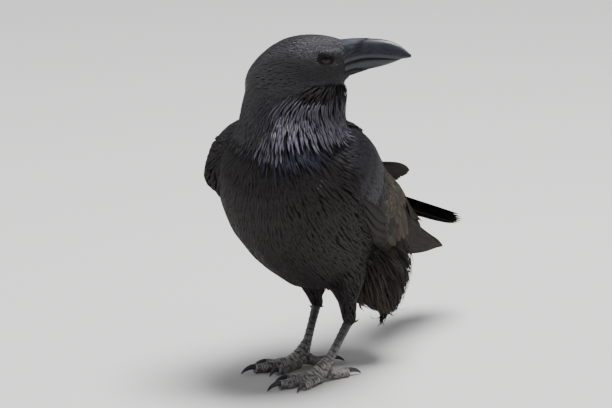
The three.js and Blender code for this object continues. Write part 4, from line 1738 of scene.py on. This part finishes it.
# The tail's colours sit below the other flight feathers': painted shade on its underside, over its own
# black.
TAIL = FeatherFinish(
    "tail feather", (0.0034, 0.0030, 0.0031), (0.0085, 0.0075, 0.0075), (0.016, 0.013, 0.011),
    worn=0.2, gloss=0.6, shine=0.06, barbs=90.0, shaft=0.62, fade=1.0)
FLUFF = FeatherFinish(
    "vent fluff", (0.0058, 0.0048, 0.0047), (0.046, 0.0370, 0.0310), (0.040, 0.032, 0.027),
    worn=0.5, gloss=0.6, shine=0.2, barbs=16.0, bump=0.15)
# The bristles' pale bluish grey is partly their own colour and partly a painted sky sheen.
BRISTLE = FeatherFinish(
    "bill bristle", (0.0065, 0.0064, 0.0085), (0.050, 0.0500, 0.0640), (0.03, 0.03, 0.038),
    worn=0.3, gloss=0.42, shine=0.5, tint=(0.9, 0.92, 1.0), barbs=8.0, fade=0.6)

SKIN = FeatherFinish(
    "skin under feathers", (0.006, 0.0055, 0.0055), (0.012, 0.011, 0.011), (0.012, 0.011, 0.011),
    worn=0.0, gloss=0.7)
# The bill horn's bluish pale is partly its dark colour and partly a painted sky sheen.
BILL_HORN = HornFinish("bill horn", (0.0085, 0.0092, 0.0130), (0.036, 0.0400, 0.055), 0.28)
# The claws' steel grey is partly dark horn and partly a painted highlight.
CLAW_HORN = HornFinish("claw horn", (0.018, 0.0185, 0.021), (0.085, 0.087, 0.095), 0.3)
EYE = EyeFinish("wet eye", (0.006, 0.0036, 0.0026), (0.017, 0.0090, 0.006), (0.004, 0.0035, 0.0035))
LID = ScaleFinish(
    "eyelid", (0.004, 0.0038, 0.004), (0.009, 0.0085, 0.0088), (0.003, 0.003, 0.003), 1500.0, shine=0.15)
SCALED = ScaleFinish(
    "scaled skin", (0.015, 0.015, 0.0172), (0.066, 0.065, 0.071), (0.007, 0.007, 0.008), dust_and_highlight_share=1.0)

CROWN_FROM = 322.0  # height of the crown's lower edge
BREAST_TO = -20.0  # place back along the body where belly and back begin
VENT_FROM = 30.0  # place back along the body where the vent's feathers begin


def clear_of_eyes(spots: Spots) -> Array:
    """Leaves the eyelids bare."""
    eyes = Eyes()
    away = np.hypot(*eyes.offsets(spots.points))
    return (away > eyes.opening + eyes.bare).astype(float)


def face_size(spots: Spots) -> Array:
    """Feathers of the face grow longer away from the bill and the eyes."""
    return 0.32 + 0.68 * ease(-spots.along, -46, 12)


def painted_lore_shade(spots: Spots) -> Array:
    """Painted shade: tones sink round each eye and along the bill's base."""
    ahead, above = Eyes().offsets(spots.points)
    round_eye = np.exp(-((ahead / 9) ** 2) - ((above / 7) ** 2))
    return 1 - 0.95 * np.maximum(round_eye, ease(spots.along, 36, 45))


def face(spots: Spots) -> Array:
    """The face, crown and cheeks, without the lids."""
    return clear_of_eyes(spots) * (spots.height > 292)


def lower_head(spots: Spots) -> Array:
    """The head's lower edge, behind and beside the throat."""
    return (spots.height <= 296) * (1 - hackles(spots))


def in_front(spots: Spots) -> Array:
    """The front of the neck, which widens downwards."""
    return ease(spots.along + 0.3 * (300 - spots.height), 0, 12)


def hackles(spots: Spots) -> Array:
    """The throat, where long pointed feathers hang."""
    middle = ease(-spots.back, 36, 48)
    return in_front(spots) * (spots.height > 258) * (spots.height < 288) * middle


def lower_hackles(spots: Spots) -> Array:
    """The foot of the throat, under the ends of the long feathers."""
    front = in_front(spots) * ease(-spots.back, 50, 64)
    return front * (spots.height <= 264) * ease(spots.height, 232, 250) * (spots.aside < 44)


def hackle_painted_light(spots: Spots) -> Array:
    """Painted shade darkens the throat's feathers under the bill and at its sides, round their painted
    highlight.
    """
    return 0.4 + 0.6 * ease(-spots.height, -282, -270) * ease(spots.aside, 0, 14)


def painted_highlight_patch(spots: Spots) -> Array:
    """A painted highlight: a second tier of pale hackles on the right of the throat's foot."""
    off = (spots.points - np.array((9.0, -102.0, 247.0))) / np.array((11.0, 14.0, 8.0))
    return ease(-np.linalg.norm(off, axis=1), -1.2, -0.7)


def not_hackles(spots: Spots) -> Array:
    """The neck apart from the throat."""
    return 1 - np.maximum(hackles(spots), lower_hackles(spots))


def below_back(spots: Spots) -> Array:
    """The height at which the back begins at each place along the body."""
    return np.interp(spots.back, (-20, 60, 110), (205, 175, 150))


def body_size(spots: Spots) -> Array:
    """Feathers of the body grow longer down and back along it."""
    return 0.75 + 0.25 * ease(spots.back, -90, 40) + 0.1 * ease(spots.height, 200, 130)


def thigh_size(spots: Spots) -> Array:
    """Feathers of the thigh grow shorter towards the ankle."""
    return 0.55 + 0.45 * ease(spots.height, 55, 110)


def above_ankle(spots: Spots) -> Array:
    """The end of the thigh, whose feathers hang a little over the shank."""
    return ease(-spots.height, -78, -66)


def vent_size(spots: Spots) -> Array:
    """Feathers of the vent hang longest behind the left leg."""
    return (0.35 + 0.4 * ease(spots.aside, -26, 14)) * (1 - 0.15 * ease(-spots.height, -86, -64))


def vent_fringe(spots: Spots) -> Array:
    """The lower rim of the vent, where fine pale wisps hang."""
    low = ease(-spots.height, -112, -86) * (spots.height > 55)
    return low * ease(spots.aside, -14, 6) * (spots.back > VENT_FROM)


def vent_back(spots: Spots) -> Array:
    """The back of the vent's left side, where the feathers stand out furthest."""
    high = ease(spots.height, 62, 74) * ease(-spots.height, -128, -112)
    return high * ease(spots.back, 46, 58) * ease(spots.aside, 24, 34)


def below_wing(spots: Spots) -> Array:
    """The flanks beside the wings' lower edges, whose feathers lap over them."""
    return ease(np.abs(spots.aside), 54, 62) * (spots.back > -70) * (spots.height < 205)


def before_wing(spots: Spots) -> Array:
    """The breast beside the wings' front edges, whose feathers lap over them."""
    before = ease(-spots.back, 62, 68) * ease(np.abs(spots.aside), 50, 58)
    return before * (spots.height >= 196) * (spots.height < 236)


def neck_size(spots: Spots) -> Array:
    """Feathers of the neck grow from those of the head, and shrink where they meet the wings."""
    return np.interp(spots.height, (236, 254, 290), (0.72, 0.95, 0.6))


def beard(spots: Spots) -> Array:
    """The throat just under the chin, whose feathers hang straight down."""
    return ease(spots.along, 20, 27) * (spots.height > 270) * (spots.height < 298)


def nape(spots: Spots) -> Array:
    """The back of the head and neck, where longer feathers end in loose tips."""
    return (spots.along < -14) * ease(spots.height, 236, 250) * ease(-spots.height, -304, -284)


@dataclass
class BodyCoat:
    """All the small feathers that are planted on the skin."""

    plumage: Plumage

    def tracts(self) -> dict[str, tuple[Vane, FeatherFinish, tuple[Tract, ...]]]:
        """The pieces of the coat, each with its vane, its finish and its tracts."""
        wings = ("wing_right_coverts", "wing_left_coverts")
        thighs = ("thigh_right", "thigh_left")
        band = self.plumage.wing_band
        small = Vane(Outline.LANCE, around=4, rows=4, thick=0.14, camber=0.1)
        slim = Vane(Outline.LANCE, around=4, rows=5, thick=0.12, camber=0.04)
        round_vane = Vane(Outline.ROUND, around=4, rows=5, thick=0.12, camber=0.03)
        lance = Vane(Outline.HACKLE, around=4, rows=7, thick=0.22, camber=0.12)
        wisp = Vane(Outline.WISP, around=4, rows=6, thick=0.2, camber=0.05)
        return {
            # Crown tones run paler than the face's: painted light on the top of the head, painted shade on
            # the face below it.
            "face_feathers": (small, FACE, (
                Tract(("head",), 10, 2.5, 1.35, (0.2, 0.7), 0.2, unruly=7, size=face_size,
                      where=lambda s: face(s) * (s.height <= CROWN_FROM), tone=(0.0, 0.4), shade=painted_lore_shade),
            )),
            "crown_feathers": (small, FACE, (
                Tract(("head",), 10, 2.4, 1.4, (0.2, 0.7), 0.2, unruly=7, size=face_size,
                      where=lambda s: face(s) * (s.height > CROWN_FROM), tone=(0.3, 0.9), shade=painted_lore_shade),
            )),
            "neck_feathers": (small, FACE, (
                Tract(("head",), 10.5, 2.6, 1.45, (0.2, 0.8), 0.2, unruly=7, where=lower_head,
                      tone=(0.0, 0.4)),
                Tract(("neck",), 18, 3.7, 2.0, (0.3, 1.2), 0.25, unruly=7, tone=(0.05, 0.45), size=neck_size,
                      where=lambda s: not_hackles(s) * ease(s.height, 248, 276)),
                Tract(("head", "neck"), 16, 3.0, 4.2, (0.4, 1.6), 0.4, loose=0.1, unruly=8, where=nape,
                      tone=(0.05, 0.5), size=neck_size),
            )),
            "beard_feathers": (small, BODY, (
                Tract(("neck",), 18, 3.7, 2.2, (0.3, 1.2), 0.25, unruly=7, tone=(0.3, 0.6), size=neck_size,
                      where=lambda s: not_hackles(s) * (1 - ease(s.height, 252, 272))),
                Tract(("head", "neck"), 19, 2.6, 2.0, (0.3, 3.4), 0.6, loose=0.15, unruly=7, uneven=0.3,
                      where=beard, tone=(0.2, 0.6)),
            )),
            "throat_hackles": (lance, HACKLE, (
                Tract(("neck", "head"), 23, 2.7, 2.1, (1.8, 5.6), 0.6, unruly=7, uneven=0.3, where=hackles,
                      shade=hackle_painted_light),
                Tract(("neck",), 16, 3.0, 2.6, (1.2, 3.0), 0.5, unruly=8, uneven=0.3, where=painted_highlight_patch,
                      tone=(0.1, 0.6)),
            )),
            "lower_hackles": (lance, BLUISH, (
                Tract(("neck", "trunk"), 21, 3.2, 2.4, (0.8, 2.2), 0.4, unruly=7, uneven=0.3,
                      where=lower_hackles),
            )),
            "breast_feathers": (slim, BODY, (
                Tract(("trunk",), 24, 5.4, 2.5, (0.2, 0.9), 0.25, unruly=5, uneven=0.25, size=body_size,
                      where=lambda s: (s.back < BREAST_TO) * not_hackles(s), tone=(0.3, 0.55)),
            )),
            "belly_feathers": (slim, BODY, (
                # The belly's low tones are painted shade on the underside.
                Tract(("trunk",), 25, 6.0, 2.7, (0.2, 0.9), 0.25, unruly=6, uneven=0.25, size=body_size,
                      where=lambda s: (s.back >= BREAST_TO) * (s.height < below_back(s)) * 1.0,
                      tone=(0.0, 0.3)),
            )),
            "back_feathers": (round_vane, MANTLE, (
                Tract(("trunk",), 26, 7.0, 3.6, (0.3, 1.4), 0.25, unruly=5, uneven=0.2,
                      where=lambda s: (s.back >= BREAST_TO) * (s.height >= below_back(s)) * 1.0),
            )),
            "thigh_feathers": (slim, BODY, (
                Tract(thighs, 16, 4.2, 2.1, (0.2, 0.8), 0.2, unruly=6, size=thigh_size, tone=(0.15, 0.45)),
                Tract(thighs, 15, 3.4, 2.4, (0.3, 1.2), 0.6, loose=0.3, unruly=8, where=above_ankle,
                      tone=(0.35, 0.7)),
            )),
            "flank_feathers": (slim, BODY, (
                # The darkest tones here, under the wings' lower edges, are painted shade.
                Tract(("trunk",), 24, 5.6, 2.8, (0.5, 1.8), 0.2, unruly=6, uneven=0.25, where=below_wing,
                      tone=(0.0, 0.2)),
                Tract(("trunk", *wings), 22, 5.2, 3.0, (0.8, 2.2), 0.2, unruly=6, uneven=0.25,
                      where=before_wing, tone=(0.3, 0.6)),
            )),
            "vent_fluff": (wisp, FLUFF, (
                Tract(("vent_feathers",), 32, 5, 2.8, (0.3, 2.4), 0.8, loose=0.4, unruly=9, uneven=0.3,
                      where=lambda s: (s.back > VENT_FROM) * (s.height > 56), size=vent_size,
                      tone=(0.1, 0.45)),
                Tract(("vent_feathers",), 31, 2.4, 2.4, (0.6, 3.8), 0.9, loose=0.55, unruly=13, uneven=0.5,
                      where=vent_fringe, tone=(0.5, 1.2)),
                Tract(("vent_feathers",), 34, 3.2, 4.0, (1.0, 7.0), 0.9, loose=0.35, unruly=10, uneven=0.4,
                      where=vent_back, tone=(0.0, 0.4), size=lambda s: 0.6 + 0.4 * ease(s.height, 70, 96)),
            )),
            "shoulder_feathers": (round_vane, MANTLE, (
                Tract(wings, 13, 4.2, 2.2, (0.2, 0.8), 0.2, unruly=6, uneven=0.2, where=band(-1.0, 0.17)),
                Tract(wings, 17, 5.4, 2.7, (0.4, 1.2), 0.2, unruly=5, uneven=0.2, where=band(0.15, 0.26)),
            )),
            "wing_coverts_feathers": (round_vane, COVERT, (
                Tract(wings, 22, 7.0, 3.4, (0.7, 1.6), 0.2, unruly=5, uneven=0.2,
                      where=band(0.24, 0.41, False)),
            )),
            "worn_coverts_feathers": (round_vane, WORN, (
                Tract(wings, 22, 6.6, 3.3, (0.7, 1.7), 0.2, unruly=5, uneven=0.2,
                      where=band(0.22, 0.46, True)),
            )),
        }

    def build(self, shop: Workshop) -> list[Object]:
        """Grows every piece of the coat.

        Args:
            shop: The shared node groups.

        Returns:
            The pieces.
        """
        made = []
        for name, (vane, finish, tracts) in self.tracts().items():
            batches = [self.plumage.grow(tract, vane) for tract in tracts]
            look = bpy.data.materials.get(finish.name) or finish.make(shop)
            made.append(Coat(name, vane).build(batches, look))
        return made


# ---- Studio ---------------------------------------------------------------------------------


@dataclass
class Studio:
    """The floor, the lights and the camera. All lights face one place, lit, in metres."""

    azimuth: float = 30.0
    elevation: float = 14.0
    distance: float = 6.0
    lens: float = 370.6
    aside: float = -11.4
    above: float = 161.0
    lit: tuple[float, float, float] = (0.0, 0.0, 0.18)

    def floor(self) -> Object:
        """Makes the plain pale floor."""
        bm = bmesh.new()
        bmesh.ops.create_grid(bm, x_segments=1, y_segments=1, size=12.0)
        mesh = bpy.data.meshes.new("floor")
        bm.to_mesh(mesh)
        bm.free()
        plane = bpy.data.objects.new("floor", mesh)
        made, _, shader = begin_material("studio floor")
        shader.inputs["Base Color"].default_value = (0.62, 0.60, 0.57, 1.0)
        shader.inputs["Roughness"].default_value = 0.8
        mesh.materials.append(made)
        link(plane)
        return plane

    def light(self, name: str, place: tuple[float, float, float], size: float, power: float,
              colour: Colour) -> None:
        """Adds a soft square light that faces the bird.

        Args:
            name: Its name.
            place: Where it stands, in metres.
            size: Its side, in metres.
            power: Its power, in watts.
            colour: Its colour.
        """
        data = bpy.data.lights.new(name, "AREA")
        data.shape = "SQUARE"
        data.size = size
        data.energy = power
        data.color = colour
        lamp = bpy.data.objects.new(name, data)
        lamp.location = place
        towards = Vector(self.lit) - Vector(place)
        lamp.rotation_euler = towards.to_track_quat("-Z", "Y").to_euler()
        link(lamp)

    def sky(self) -> None:
        """Sets an even pale surround."""
        world = bpy.data.worlds.new("surround")
        world.use_nodes = True
        world.node_tree.nodes["Background"].inputs["Color"].default_value = (0.86, 0.9, 1.0, 1.0)
        world.node_tree.nodes["Background"].inputs["Strength"].default_value = 0.22
        bpy.context.scene.world = world

    def camera(self) -> None:
        """Sets up the camera."""
        turn, tilt = math.radians(self.azimuth), math.radians(self.elevation)
        right = Vector((math.cos(turn), math.sin(turn), 0.0))
        back = Vector((math.sin(turn) * math.cos(tilt), -math.cos(turn) * math.cos(tilt), math.sin(tilt)))
        target = Vector(FEET) * MM + (right * self.aside + back.cross(right) * self.above) * MM
        data = bpy.data.cameras.new("camera")
        data.lens = self.lens
        data.clip_end = 60.0
        camera = bpy.data.objects.new("camera", data)
        camera.location = target + back * self.distance
        camera.rotation_euler = back.to_track_quat("Z", "Y").to_euler()
        link(camera)
        bpy.context.scene.camera = camera

    def build(self) -> None:
        """Sets the whole studio."""
        self.floor()
        self.sky()
        self.light("top", (0.4, 0.3, 3.0), 1.5, 240.0, (0.95, 0.97, 1.0))
        self.light("key", (2.2, -0.7, 2.4), 1.0, 7.0, (1.0, 0.96, 0.91))
        self.light("rim", (-2.4, 0.7, 1.9), 1.2, 9.0, (0.9, 0.94, 1.0))
        self.light("fill", (-1.9, -2.0, 1.2), 1.6, 24.0, (0.92, 0.95, 1.0))
        self.camera()


def main() -> None:
    """Builds the bird and its studio in order."""
    logging.basicConfig(level=logging.INFO, format="%(message)s")
    shop = Workshop()
    Studio().build()
    _, ground = Skin().build(SKIN.make(shop))
    LOG.info("skin: %d triangles", len(ground.triangles))
    plumage = Plumage(ground, WINGS)
    coat = BodyCoat(plumage).build(shop)
    quill, tertial = QUILL.make(shop), TERTIAL.make(shop)
    mantle, worn, covert = (bpy.data.materials[used.name] for used in (MANTLE, WORN, COVERT))
    looks = {"primaries": quill, "secondaries": tertial, "tertials": tertial, "inner_coverts": worn,
             "outer_coverts": covert, "scapulars": mantle}
    for wing in WINGS:
        coat += WingFeathers(wing, plumage).build(looks)
    coat += Tail(plumage).build(TAIL.make(shop), mantle)
    bill = Bill()
    bill.build(BILL_HORN.make(shop))
    bristle = Vane(Outline.BRISTLE, around=4, rows=6, thick=0.3, camber=0.2)
    plumes = [bill.bristles(plumage, bristle, 640), bill.bristles(plumage, bristle, 520, under=True)]
    coat.append(Coat("bill_bristles", bristle).build(plumes, BRISTLE.make(shop)))
    LOG.info("coat: %d pieces", len(coat))
    eyes = Eyes()
    wet = EYE.make(shop)
    for side in (1, -1):
        eyes.ball(side, wet)
    eyes.lids(LID.make(shop))
    scaled, horn = SCALED.make(shop), CLAW_HORN.make(shop)
    for leg in LEGS:
        leg.build(scaled, horn)
        LOG.info("leg %s done", leg.name)


if __name__ == "__main__":
    main()
